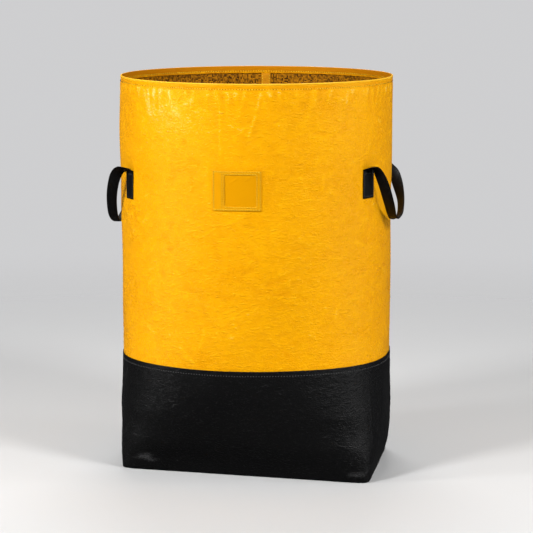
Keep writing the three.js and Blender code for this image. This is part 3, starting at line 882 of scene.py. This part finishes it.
class Finish:
    """The nodes of a material, or of the surroundings."""

    def __init__(self, owner, shader="Principled BSDF"):
        owner.use_nodes = True
        self.owner = owner
        self.tree = owner.node_tree
        self.shader = self.tree.nodes[shader]

    def node(self, kind, settings=None, sockets=None, output=0):
        """Adds a node: its settings first, then the values or links of its sockets."""
        made = self.tree.nodes.new(kind)
        for key, value in (settings or {}).items():
            setattr(made, key, value)
        for key, value in (sockets or {}).items():
            self.feed(made.inputs[key], value)
        return Wire(self, made.outputs[output])

    def feed(self, socket, value):
        """Links a wire to a socket, or sets its value."""
        if isinstance(value, Wire):
            self.tree.links.new(value.socket, socket)
        else:
            socket.default_value = value

    def surface(self, **values):
        """Feeds the surface shader's sockets, named with underscores."""
        for key, value in values.items():
            self.feed(self.shader.inputs[key.replace("_", " ")], value)
        return self.owner

    def place(self, stretch=(1, 1, 1)):
        """Object coordinates, stretched along the axes."""
        spot = self.node("ShaderNodeTexCoord", output="Object")
        return self.node("ShaderNodeMapping", {}, {"Vector": spot, "Scale": stretch})

    def cloth_place(self):
        """Both UV coordinates in metres."""
        spot = self.node("ShaderNodeUVMap", {"uv_map": "cloth"})
        across = self.node("ShaderNodeSeparateXYZ", {}, {"Vector": spot}, 0)
        return across, Wire(self, across.socket.node.outputs[1])

    def noise(self, place, scale, detail=2.0, kind="FBM", roughness=0.5, distortion=0.0):
        """Noise from 0 to 1, with that many waves a metre."""
        return self.node(
            "ShaderNodeTexNoise", {"noise_dimensions": "3D", "noise_type": kind, "normalize": True},
            {"Vector": place, "Scale": scale, "Detail": detail, "Roughness": roughness,
             "Distortion": distortion})

    def mix(self, share, low, high):
        """Colour between two."""
        return self.node("ShaderNodeMix", {"data_type": "RGBA"}, {0: share, 6: low, 7: high}, 2)

    def bump(self, height, distance):
        """Normal of a surface raised by height times distance."""
        return self.node("ShaderNodeBump", {}, {"Height": height, "Distance": distance, "Strength": 1.0})

    def tapes(self, pitch):
        """Plain weave of flat tapes: height, and a random level for each crossing.

        Every crossing shows one tape, crowned across its width, and the tape on top changes from one
        crossing to the next.
        """
        across, up = self.cloth_place()
        column, row = across / pitch, up / pitch
        over = ((column.floor() + row.floor()) * 0.5).part() * 2.0
        crown = [1.0 - (part.part() * 2.0 - 1.0) ** 2.0 for part in (column, row)]
        height = crown[0] * over + crown[1] * (1.0 - over)
        cell = self.node("ShaderNodeCombineXYZ", {}, {0: column.floor(), 1: row.floor()})
        level = self.node("ShaderNodeTexWhiteNoise", {"noise_dimensions": "2D"}, {"Vector": cell})
        return height, level


def material(name):
    """The nodes of a new material."""
    return Finish(bpy.data.materials.new(name))


def coated_cloth(name, fold, face, worn, roughness, crinkle, shine, tint):
    """Coated woven cloth: a smooth film over tapes, with fine crackled wrinkles.

    The level is the painted light attribute, broken up and added to by the noises. Above 0 the face turns to
    the paler colour and below 0 to the darker one of the folds: painted highlight and painted shade where
    the attribute sets the level, random mottling where the noises do.
    """
    finish = material(name)
    place = finish.place((1, 1, 1.3))
    streaky = finish.place((1, 1, 2.4))
    slow = finish.noise(place, 9, 3)
    mottle = finish.noise(place, 46, 3, distortion=0.4)
    ridge = finish.noise(streaky, 62, 3, "RIDGED_MULTIFRACTAL", 0.55, 0.3)
    crackle = finish.noise(streaky, 150, 3, "RIDGED_MULTIFRACTAL", 0.6, 0.8)
    grain = finish.noise(place, 330, 3)
    weave, _ = finish.tapes(2.6 * MM)
    # Painted light of the relief and of the sheen patches, set on each point.
    rub = finish.node("ShaderNodeAttribute", {"attribute_name": "rub"}, {}, "Fac")
    broken = (crackle - 0.5) * 0.9 + (ridge - 0.5) * 0.5 + (grain - 0.5) * 0.8
    level = rub * (1.0 + broken) + broken * 0.5 + (mottle - 0.5) * 0.5 + (slow - 0.5) * 0.4
    pale, deep = level.clipped(), (level * -1.6).clipped()
    relief = ridge * 0.30 + crackle * 0.40 + grain * 0.22 + weave * 0.03
    return finish.surface(
        Base_Color=finish.mix(deep, finish.mix(pale, face, worn), fold),
        Roughness=roughness + (slow - 0.5) * 0.18 + (mottle - 0.5) * 0.12,
        Specular_IOR_Level=shine,
        Specular_Tint=tint,
        Normal=finish.bump(relief, crinkle),
    )


def bare_weave(name, face, dark, contrast):
    """Uncoated face: flat tapes over and under, each crossing with its own shade."""
    finish = material(name)
    height, level = finish.tapes(3.0 * MM)
    slow = finish.noise(finish.place(), 22, 3)
    share = (level * contrast + slow * 0.5 + height * 0.2 - 0.35).clipped()
    return finish.surface(
        Base_Color=finish.mix(share, dark, face),
        Roughness=0.5 + level * 0.2,
        Specular_IOR_Level=0.06,
        Normal=finish.bump(height, 0.5 * MM),
    )


def webbing_finish(name, face, rubbed):
    """Satin webbing: fine ribs across its width and a herringbone slant along it, a little scuffed."""
    finish = material(name)
    across, up = finish.cloth_place()
    rib = across.math("SINE", across * (2 * math.pi / (1.7 * MM)))
    pick = across.math("SINE", (up + abs(rib) * 0.5 * MM) * (2 * math.pi / (1.1 * MM)))
    scuff = finish.noise(finish.place(), 130, 3)
    return finish.surface(
        Base_Color=finish.mix(((scuff - 0.5) / 0.4).clipped(), face, rubbed),
        Roughness=0.42 + (scuff - 0.5) * 0.2,
        Specular_IOR_Level=0.07,
        Normal=finish.bump(rib * 0.6 + pick * 0.4, 0.06 * MM),
    )


def thread_finish(name, face, roughness):
    """Twisted thread: a slight change of shade and gloss from place to place."""
    finish = material(name)
    twist = finish.noise(finish.place(), 900, 2)
    deep = (*(0.55 * level for level in face[:3]), 1)
    return finish.surface(
        Base_Color=finish.mix(twist, deep, face),
        Roughness=roughness + (twist - 0.5) * 0.2,
        Specular_IOR_Level=0.08,
        Normal=finish.bump(twist, 0.15 * MM),
    )


def floor_finish(name, face):
    """Even floor that turns clear with its distance from the middle, along a smooth step."""
    finish = material(name)
    away = finish.node("ShaderNodeVectorMath", {"operation": "LENGTH"}, {0: finish.place()}, 1)
    near, far = FLOOR_FADE
    fade = finish.node(
        "ShaderNodeMapRange", {"interpolation_type": "SMOOTHSTEP"},
        {"Value": away, "From Min": near, "From Max": far, "To Min": 1.0, "To Max": 0.0})
    return finish.surface(Base_Color=face, Roughness=0.8, Specular_IOR_Level=0.1, Alpha=fade)


# Highlights on the yellow film stay yellow, and those on the black one white.
YELLOW_SHINE, WHITE_SHINE = (1.0, 0.74, 0.12, 1), (1, 1, 1, 1)

# What makes each part's finish, its colours by their names, and the other values in the order of that
# function.
FINISHES = {
    "yellow": (coated_cloth, "yellow_fold yellow yellow_worn", 0.30, 4.0 * MM, 0.28, YELLOW_SHINE),
    "rim": (coated_cloth, "yellow rim yellow_worn", 0.35, 1.2 * MM, 0.3, YELLOW_SHINE),
    "hem": (coated_cloth, "hem_shade hem_shade yellow", 0.46, 1.2 * MM, 0.2, YELLOW_SHINE),
    "window": (coated_cloth, "window window border", 0.34, 0.9 * MM, 0.3, YELLOW_SHINE),
    "border": (coated_cloth, "window border yellow", 0.40, 1.2 * MM, 0.3, YELLOW_SHINE),
    "weave": (bare_weave, "weave weave_dark", 0.9),
    "tape": (bare_weave, "tape weave", 0.5),
    "black": (coated_cloth, "black black black_worn", 0.34, 3.2 * MM, 0.12, WHITE_SHINE),
    "black_weave": (bare_weave, "black_worn black", 0.8),
    "webbing": (webbing_finish, "webbing webbing_scuff"),
    "yellow_thread": (thread_finish, "yellow_thread", 0.45),
    # Painted shade of the stitch dimples.
    "hole": (thread_finish, "needle_hole", 0.6),
    "black_thread": (thread_finish, "black_thread", 0.4),
}


def sack_finishes(colours):
    """Every finish of the sack by its part, each one made on first use."""
    made = {}
    for part, (make, names, *values) in FINISHES.items():
        name = part + "_finish"
        chosen = (tuple(getattr(colours, key)) for key in names.split())
        made[part] = bpy.data.materials.get(name) or make(name, *chosen, *values)
    return made


# Operators


class SackOperator:
    """What the sack's operators share."""

    bl_options = {"REGISTER", "UNDO"}

    def settings(self, context):
        """The sack's sizes and finishes."""
        return context.scene.sack_sizes, sack_finishes(context.scene.sack_colours)


class SACK_OT_upper_wall(SackOperator, bpy.types.Operator):
    """Builds the yellow cloth as a hollow wall with puckers and creases"""

    bl_idname = "sack.upper_wall"
    bl_label = "Upper wall"

    def execute(self, context):
        sizes, finishes = self.settings(context)
        foot, fold = sizes.lower_height - sizes.lap, sizes.lower_height
        top = HEIGHT - CLOTH - CLEARANCE
        outer_rows, inner_rows = 156, 30
        outer = np.concatenate([[foot, foot + 0.5 * sizes.lap], np.linspace(fold, top, outer_rows)])
        inner = np.linspace(top, foot, inner_rows)
        heights = np.concatenate([outer, inner])
        offsets = np.concatenate([np.zeros(len(outer)), np.full(inner_rows, -CLOTH)])
        outside = np.arange(len(heights)) < len(outer)

        def relief(around, height):
            """Bumps of the face above the lap, and the slow waves and the mouth's on both faces."""
            around, level = np.broadcast_arrays(around, height[:, None])
            seen = outside & (height > fold - 2 * MM)
            bumps = np.zeros(around.shape)
            bumps[seen] = upper_relief(around[seen], level[seen], sizes)
            free = rise(level, fold, fold + 60 * MM) * rise(HEIGHT - level, 10 * MM, 60 * MM)
            wave = hem_wave(around) * rise(level, HEIGHT - 40 * MM, HEIGHT - 16 * MM)
            bumps += free * buckles(around, level)
            return clear_of_patch(around, level, sizes) * bumps + wave

        ring_piece(
            "upper_wall_cloth", offsets, heights, relief, [finishes["yellow"], finishes["weave"]],
            np.where(outside, 0, 1), UPPER_PAINTED_LIGHT, slot="yellow_cloth", stands_for=["upper_wall"])
        return {"FINISHED"}


class SACK_OT_rim_hem(SackOperator, bpy.types.Operator):
    """Builds the hem that folds over the mouth to the inside"""

    bl_idname = "sack.rim_hem"
    bl_label = "Rim hem"

    def execute(self, context):
        sizes, finishes = self.settings(context)
        inner = -2 * CLOTH - CLEARANCE
        foot, edge = HEIGHT - sizes.hem_depth, HEIGHT - 3.6 * MM
        bend, small_bend = 1.4 * MM, 0.75 * MM
        lip, on_wall = 0.2 * MM, 0.02 * MM
        over = arc_steps((lip - bend, HEIGHT - bend), bend, 0, 90)
        back = arc_steps((inner + bend, HEIGHT - bend), bend, 90, 180)
        under = arc_steps((inner + small_bend, foot + small_bend), small_bend, 180, 360)
        leg = np.linspace(HEIGHT - 3 * MM, foot + 2 * MM, BEND_STEPS)
        offsets = np.concatenate([
            [lip], over[0], back[0], np.full(BEND_STEPS, inner), under[0],
            [-CLOTH - CLEARANCE, on_wall, on_wall]])
        heights = np.concatenate([
            [edge], over[1], back[1], leg, under[1], [HEIGHT - CLOTH, HEIGHT - CLOTH, edge]])
        outside = np.arange(len(offsets)) < 3 + BEND_STEPS

        def relief(around, height):
            """The mouth's waves, with the inner leg drawn out along its stitch line and slightly wavy."""
            line = np.exp(-((height - HEIGHT + sizes.hem_stitch) / (1.6 * MM)) ** 2)
            swell = np.where(np.abs(offsets - inner) < 0.01 * MM, 0.35 * MM * line, 0)
            fine = np.sin(np.radians(around) * 47) * 0.12 * MM * (HEIGHT - height[:, None] > 4 * MM)
            return hem_wave(around) + swell[:, None] + fine

        # The mouth's rounded top takes the rim finish with its painted highlight, the inside the hem's
        # painted shade.
        ring_piece(
            "rim_hem_cloth", offsets, heights, relief, [finishes["rim"], finishes["hem"]],
            np.where(outside, 0, 1), HEM_PAINTED_LIGHT, slot="yellow_hem", stands_for=["rim_hem"])
        return {"FINISHED"}


class SACK_OT_lower_wall(SackOperator, bpy.types.Operator):
    """Builds the black cloth with its folded upper edge and creased corners"""

    bl_idname = "sack.lower_wall"
    bl_label = "Lower wall"

    def execute(self, context):
        sizes, finishes = self.settings(context)
        inner, outer = CLEARANCE, CLEARANCE + CLOTH
        top, bend = sizes.lower_height, 0.75 * MM
        outer_rows, inner_rows = 78, 26
        fold = arc_steps((inner + bend, top - bend), bend, 0, 180)
        up = np.linspace(2.5 * MM, top - 2 * MM, outer_rows)
        down = np.linspace(top - 3 * MM, 2.2 * MM, inner_rows)
        offsets = np.concatenate([
            [inner + 0.2 * MM, outer - 0.4 * MM, outer], np.full(outer_rows, outer), fold[0],
            np.full(inner_rows, inner)])
        heights = np.concatenate([[0, 0.2 * MM, 1.0 * MM], up, fold[1], down])
        outside = np.arange(len(heights)) < 3 + outer_rows

        def relief(around, height):
            """Bumps of the outer face, which end just above the ground, and the slow waves on both faces."""
            around, level = np.broadcast_arrays(around, height[:, None])
            bumps = np.zeros(around.shape)
            bumps[outside] = lower_relief(around[outside], level[outside], sizes)
            bumps *= rise(level, 1 * MM, 8 * MM)
            free = rise(level, 4 * MM, 50 * MM) * rise(top - level, 20 * MM, 60 * MM)
            return bumps + free * (0.6 * buckles(around, level) + 0.5 * MM)

        ring_piece(
            "lower_wall_cloth", offsets, heights, relief, [finishes["black"], finishes["black_weave"]],
            np.where(outside | (heights > top - 2 * MM), 0, 1), LOWER_PAINTED_SHEEN, slot="black_cloth",
            stands_for=["lower_wall"])
        return {"FINISHED"}


class SACK_OT_base(SackOperator, bpy.types.Operator):
    """Builds the flat base cloth that the sack stands on"""

    bl_idname = "sack.base"
    bl_label = "Base"

    def execute(self, context):
        _, finishes = self.settings(context)
        around = places_round(WALL_COLUMNS // 2)
        shares = np.linspace(0.02, 0.995, 26)
        reach = np.concatenate([shares, [1, 1], shares[::-1]])[::-1]
        foot = np.arange(len(reach)) < len(shares) + 1
        edge = wall_point(around, 0.0, 0.0)
        reach = reach[:, None]
        wave = 1 + np.sin(3 * np.radians(around) + 9 * reach)
        points = edge * reach[..., None]
        points[..., 2] = np.where(foot[:, None], 0.0, 2 * MM + 0.6 * MM * wave * rise(1 - reach, 0.02, 0.1))
        uv = reach[..., None] * np.concatenate([edge, edge[:1]])[:, :2]
        grid_piece(
            "base_cloth", points, uv, False, [finishes["black"]], cap_ends=True, slot="black_cloth",
            stands_for=["base_panel"])
        return {"FINISHED"}


class SACK_OT_seam_tape(SackOperator, bpy.types.Operator):
    """Builds the woven tape over the seam inside the back"""

    bl_idname = "sack.seam_tape"
    bl_label = "Seam tape"

    def execute(self, context):
        sizes, finishes = self.settings(context)
        outer = -CLOTH - TAPE_CLEARANCE
        inner = outer - CLOTH
        foot, top = sizes.lower_height + 15 * MM, HEIGHT - sizes.hem_depth - CLEARANCE
        half = sizes.tape_width / 2
        columns = 9
        across = np.linspace(-half, half, columns)
        across = np.concatenate([across, across[::-1]])
        depth = np.repeat([outer, inner], columns)
        depth[[columns, -1]] += 0.5 * MM
        heights = np.linspace(foot, top, 120)
        wave = 0.12 * MM * np.sin(heights / (14 * MM))
        points = wall_point(TAPE_AROUND + arc(across + wave[:, None]), heights[:, None], depth)
        uv = np.stack(np.meshgrid(np.append(across, across[0]), heights), axis=-1)
        grid_piece(
            "seam_tape_cloth", points, uv, False, [finishes["tape"]], cap_ends=True, slot="seam_tape",
            stands_for=["back_seam"])
        return {"FINISHED"}


class SACK_OT_patch(SackOperator, bpy.types.Operator):
    """Builds the sewn patch on the front: its smooth cloth and the border round its window"""

    bl_idname = "sack.patch"
    bl_label = "Patch"

    def execute(self, context):
        sizes, finishes = self.settings(context)
        sheet, rings, border_rings = 0.8 * MM, 24, 9
        middle = np.array([sizes.window_shift, 0])
        outline = self.rectangle(sizes.patch_width / 2, sizes.patch_height / 2)
        window = middle + self.rectangle(sizes.window_size / 2, sizes.window_size / 2)
        inner, outer = CLEARANCE, CLEARANCE + sheet
        shares = np.linspace(0.02, 0.985, rings)
        reach = np.concatenate([shares, [1, 1], shares[::-1]])
        offset = np.concatenate([
            np.full(rings, inner), [inner + 0.1 * MM, outer - 0.3 * MM], np.full(rings, outer)])
        flat = middle + reach[:, None, None] * (outline - middle)
        crease = 0.8 * MM * creased(flat / MM) * (offset > outer - 0.2 * MM)[:, None]
        offset = offset[:, None] + crease
        self.lay("patch_cloth", flat, offset, sizes, finishes["window"], False, "label_patch")
        low = outer + 0.05 * MM
        high = low + sheet
        share = np.concatenate([[0, 0.02, 0.06], np.linspace(0.1, 0.9, border_rings), [0.95, 1, 1, 0]])
        lift = np.concatenate([
            [low + 0.2 * MM, high - 0.2 * MM, high], np.full(border_rings, high + 0.15 * MM),
            [high, high - 0.25 * MM, low, low]])
        band = outline + share[:, None, None] * (window - outline)
        wavy = 0.10 * MM * np.sin(band[..., 0] / (5 * MM)) * np.sin(band[..., 1] / (6 * MM))
        lift = lift[:, None] + wavy * (lift > high)[:, None]
        self.lay("patch_border_cloth", band, lift, sizes, finishes["border"], True, "label_frame")
        return {"FINISHED"}

    def rectangle(self, half_width, half_height):
        """Points round a rectangle, anticlockwise from its lower left corner, as many on each side."""
        corners = np.array([(-1, -1), (1, -1), (1, 1), (-1, 1), (-1, -1)]) * (half_width, half_height)
        steps = 32
        share = np.arange(steps)[:, None] / steps
        return np.concatenate([a + share * (b - a) for a, b in zip(corners[:-1], corners[1:])])

    def lay(self, name, flat, offset, sizes, finish, join_rows, node):
        """Lays rings of points (across, up) on the wall at the front."""
        height = sizes.patch_centre + flat[..., 1]
        points = wall_point(arc(flat[..., 0]), height, offset)
        uv = np.concatenate([flat, flat[:, :1]], axis=1)
        if join_rows:
            uv = np.concatenate([uv, uv[:1]])
        grid_piece(
            name, points, uv, join_rows, [finish], cap_ends=not join_rows, slot="patch_cloth",
            stands_for=[node])


class SACK_OT_handles(SackOperator, bpy.types.Operator):
    """Builds both webbing handles, flat where they are sewn and folded to a grip in the loop"""

    bl_idname = "sack.handles"
    bl_label = "Handles"

    def execute(self, context):
        sizes, finishes = self.settings(context)
        for name, *place in handle_places(sizes):
            centre, run, bow, thick = handle_stations(*place, sizes)
            points = self.sweep(centre, run, bow, thick)
            length = np.concatenate([[0], np.cumsum(np.linalg.norm(np.diff(centre, axis=0), axis=1))])
            across, _ = self.section()
            width = np.linalg.norm(run, axis=1)[:, None] * np.append(across, across[0])
            uv = np.stack([width, np.broadcast_to(length[:, None], width.shape)], axis=-1)
            grid_piece(
                name + "_webbing", points[:, ::-1], uv[:, ::-1], False, [finishes["webbing"]], cap_ends=True,
                slot="black_webbing", stands_for=[name])
        return {"FINISHED"}

    def section(self):
        """Section of the webbing in shares of its width and thickness: flat faces with rounded edges."""
        reach, columns = 0.47, 11
        flat = np.linspace(-reach, reach, columns)
        turn = np.radians(np.linspace(-60, 60, 5))
        bend, side, face = reach + 0.03 * np.cos(turn), 0.5 * np.sin(turn), np.full(columns, 0.5)
        return np.concatenate([flat, bend, flat[::-1], -bend]), np.concatenate([-face, side, face, -side])

    def sweep(self, centre, run, bow, thick):
        """Carries the section along the handle, square to its direction; the middle of the grip is fuller."""
        along = np.gradient(centre, axis=0)
        along /= np.linalg.norm(along, axis=1, keepdims=True)
        width = np.linalg.norm(run, axis=1, keepdims=True)
        run = run - along * np.sum(run * along, axis=1, keepdims=True)
        run *= width / np.linalg.norm(run, axis=1, keepdims=True)
        face = np.cross(run, along)
        face /= np.linalg.norm(face, axis=1, keepdims=True)
        across, deep = self.section()
        full = 1 + (thick[:, None] / thick.min() - 1) * (1 - (2 * across) ** 2)
        return (
            centre[:, None]
            + across[:, None] * run[:, None]
            + 4 * across[:, None] ** 2 * bow[:, None]
            + (deep * thick.min() * full)[..., None] * face[:, None]
        )


class SACK_OT_stitching(SackOperator, bpy.types.Operator):
    """Sews the hem, the lap, the patch, the seam tape and the handles' ends"""

    bl_idname = "sack.stitching"
    bl_label = "Stitching"

    def execute(self, context):
        sizes, finishes = self.settings(context)
        thread, pitch = sizes.thread, sizes.stitch_pitch
        yellow, black, hole = (finishes[key] for key in ("yellow_thread", "black_thread", "hole"))
        ring = arc(even(0, 2 * math.pi * MOUTH_RADIUS, pitch))
        line = HEIGHT - sizes.hem_stitch
        inner_face = 0.2 * MM - 2 * CLOTH - CLEARANCE
        outside = wall_stitches(ring, line, hem_wave(ring) - 0.3 * MM, False, pitch)
        inside = wall_stitches(ring, line, hem_wave(ring) + inner_face, False, pitch)
        inside[2] *= -1
        hem = np.concatenate([outside, inside], axis=1)
        threads("hem_stitches", *hem, thread, yellow, "yellow_hem")
        # Dark beads between the hem's stitches are painted shade.
        threads("hem_holes", *hole_shadows(hem, 1.4 * thread), 1.4 * thread, hole, "yellow_hem")
        line = sizes.lower_height - sizes.lap_stitch
        lap = wall_stitches(ring, line, CLEARANCE + CLOTH - 0.3 * MM, False, pitch)
        threads("lap_stitches", *lap, 1.3 * thread, black, "black_cloth")
        self.sew_patch(sizes, yellow, hole)
        self.sew_tape(sizes, yellow)
        self.sew_handles(sizes, black)
        return {"FINISHED"}

    def sew_patch(self, sizes, finish, hole):
        """Double rows round the patch and its window."""
        pitch, top = 6.0 * MM, CLEARANCE + 1.75 * MM
        half_width, half_height = sizes.patch_width / 2 - 2.6 * MM, sizes.patch_height / 2 - 2.4 * MM
        half_window = sizes.window_size / 2 + 2.0 * MM
        middle, centre = sizes.window_shift, sizes.patch_centre
        foot, head = centre - half_height, centre + half_height
        left, right = middle - half_window, middle + half_window
        rows = np.concatenate([
            stitch_box(-half_width, half_width, foot, head, top, pitch),
            stitch_box(left, right, centre - half_window, centre + half_window, top, pitch),
            upright_line(left - 4.6 * MM, foot, head, top, pitch),
        ], axis=1)
        upright = np.abs(rows[1, :, 2]) > 0.2 * pitch
        for name, which, thread, needle in (
                ("level", ~upright, 2.5 * MM, 2.0 * MM), ("upright", upright, 1.5 * MM, 2.7 * MM)):
            line = rows[:, which]
            threads(f"patch_{name}_stitches", *line, thread, finish, "patch_cloth")
            # Dark beads between the patch's stitches are painted shade.
            threads(f"patch_{name}_holes", *hole_shadows(line, needle), needle, hole, "patch_cloth")

    def sew_tape(self, sizes, finish):
        """One row along each edge of the seam tape."""
        foot, top = sizes.lower_height + 18 * MM, HEIGHT - sizes.hem_depth - 3 * MM
        edge = sizes.tape_width / 2 - 3 * MM
        depth = -2 * CLOTH - TAPE_CLEARANCE
        pitch = sizes.stitch_pitch
        rows = np.concatenate(
            [upright_line(side, foot, top, depth, pitch, TAPE_AROUND) for side in (-edge, edge)], axis=1)
        rows[2] *= -1
        threads("tape_stitches", *rows, sizes.thread, finish, "seam_tape")

    def sew_handles(self, sizes, finish):
        """A box of stitches on each sewn end."""
        half = sizes.webbing_width / 2 - 3.5 * MM
        face = CLEARANCE + sizes.webbing_thickness
        pitch, thread = 4.5 * MM, 1.0 * MM
        boxes = []
        for _, side, top, _, half_span, _, _ in handle_places(sizes):
            foot, head = top - HANDLE_SEWN + 4 * MM, top - 8 * MM
            for end in (1, -1):
                place = sewn_place(side, end, half_span)
                boxes.append(stitch_box(-half, half, foot, head, face, pitch, place))
        threads("handle_stitches", *np.concatenate(boxes, axis=1), thread, finish, "black_webbing")


class SACK_OT_stage(SackOperator, bpy.types.Operator):
    """Sets the floor, the soft lights and the camera"""

    bl_idname = "sack.stage"
    bl_label = "Stage"

    def execute(self, context):
        scene = context.scene
        self.lay_floor(tuple(scene.sack_colours.floor))
        for name, turn, distance, height, width, tall, power in LIGHTS:
            self.hang_light(name, turn, distance, height, width, tall, power)
        self.set_world(scene)
        self.set_camera(scene)
        scene.view_settings.view_transform = "Standard"
        return {"FINISHED"}

    def lay_floor(self, colour):
        """Flat floor just under the sack, which fades into the surroundings further out."""
        corners = [(x * FLOOR_REACH, y * FLOOR_REACH, -MM) for x, y in ((-1, -1), (1, -1), (1, 1), (-1, 1))]
        mesh = bpy.data.meshes.new("floor")
        mesh.from_pydata(corners, [], [(0, 1, 2, 3)])
        mesh.materials.append(floor_finish("floor_finish", colour))
        floor = bpy.data.objects.new("floor", mesh)
        floor.visible_glossy = False
        bpy.context.scene.collection.objects.link(floor)

    def hang_light(self, name, turn, distance, height, width, tall, power):
        """Soft light that faces the sack's middle from a place round it."""
        light = bpy.data.lights.new(name, "AREA")
        light.shape = "RECTANGLE"
        light.size, light.size_y, light.energy = width, tall, power
        lamp = bpy.data.objects.new(name, light)
        angle = math.radians(turn + CAMERA_TURN - 90)
        lamp.location = (distance * math.cos(angle), distance * math.sin(angle), height)
        away = math.atan2(height - LIGHT_AIM, distance)
        lamp.rotation_euler = (math.pi / 2 - away, 0, angle + math.pi / 2)
        lamp.visible_camera = False
        bpy.context.scene.collection.objects.link(lamp)

    def set_world(self, scene):
        """Even surroundings, which look paler than the light they give, and a soft light from above."""
        finish = Finish(bpy.data.worlds.new("surroundings"), "Background")
        seen = finish.node("ShaderNodeLightPath", output="Is Camera Ray")
        scene.world = finish.surface(Color=finish.mix(seen, WORLD_LIGHT, WORLD_SEEN))
        sky = bpy.data.lights.new("ceiling", "SUN")
        sky.energy, sky.angle = CEILING_POWER, math.radians(CEILING_WIDTH)
        ceiling = bpy.data.objects.new("ceiling", sky)
        scene.collection.objects.link(ceiling)

    def set_camera(self, scene):
        """Camera with the photograph's place and lens."""
        camera = bpy.data.cameras.new("camera")
        camera.sensor_width, camera.lens = SENSOR, LENS
        camera.clip_end = 200
        holder = bpy.data.objects.new("camera", camera)
        turn = math.radians(CAMERA_TURN)
        holder.location = (
            CAMERA_ACROSS * math.cos(turn) + CAMERA_BACK * math.sin(turn),
            CAMERA_ACROSS * math.sin(turn) - CAMERA_BACK * math.cos(turn),
            CAMERA_HEIGHT)
        holder.rotation_euler = (math.radians(CAMERA_TILT), 0, turn)
        scene.collection.objects.link(holder)
        scene.camera = holder


class SACK_PT_sidebar(bpy.types.Panel):
    """Buttons that build the sack"""

    bl_idname = "SACK_PT_sidebar"
    bl_label = "Moving sack"
    bl_space_type = "VIEW_3D"
    bl_region_type = "UI"
    bl_category = "Sack"

    def draw(self, context):
        for operator in OPERATORS:
            self.layout.operator(operator.bl_idname)
        for group in (context.scene.sack_sizes, context.scene.sack_colours):
            for key in group.__annotations__:
                self.layout.prop(group, key)


OPERATORS = (
    SACK_OT_upper_wall,
    SACK_OT_rim_hem,
    SACK_OT_lower_wall,
    SACK_OT_base,
    SACK_OT_seam_tape,
    SACK_OT_patch,
    SACK_OT_handles,
    SACK_OT_stitching,
    SACK_OT_stage,
)
CLASSES = (SackSizes, SackColours, *OPERATORS, SACK_PT_sidebar)


def register():
    """Adds the classes and the scene's sizes and colours."""
    for cls in CLASSES:
        bpy.utils.register_class(cls)
    bpy.types.Scene.sack_sizes = bpy.props.PointerProperty(type=SackSizes)
    bpy.types.Scene.sack_colours = bpy.props.PointerProperty(type=SackColours)


def unregister():
    """Takes away what register added."""
    del bpy.types.Scene.sack_colours
    del bpy.types.Scene.sack_sizes
    for cls in reversed(CLASSES):
        bpy.utils.unregister_class(cls)


def main():
    """Builds every piece and the stage."""
    register()
    for operator in OPERATORS:
        group, name = operator.bl_idname.split(".")
        getattr(getattr(bpy.ops, group), name)()


if __name__ == "__main__":
    main()
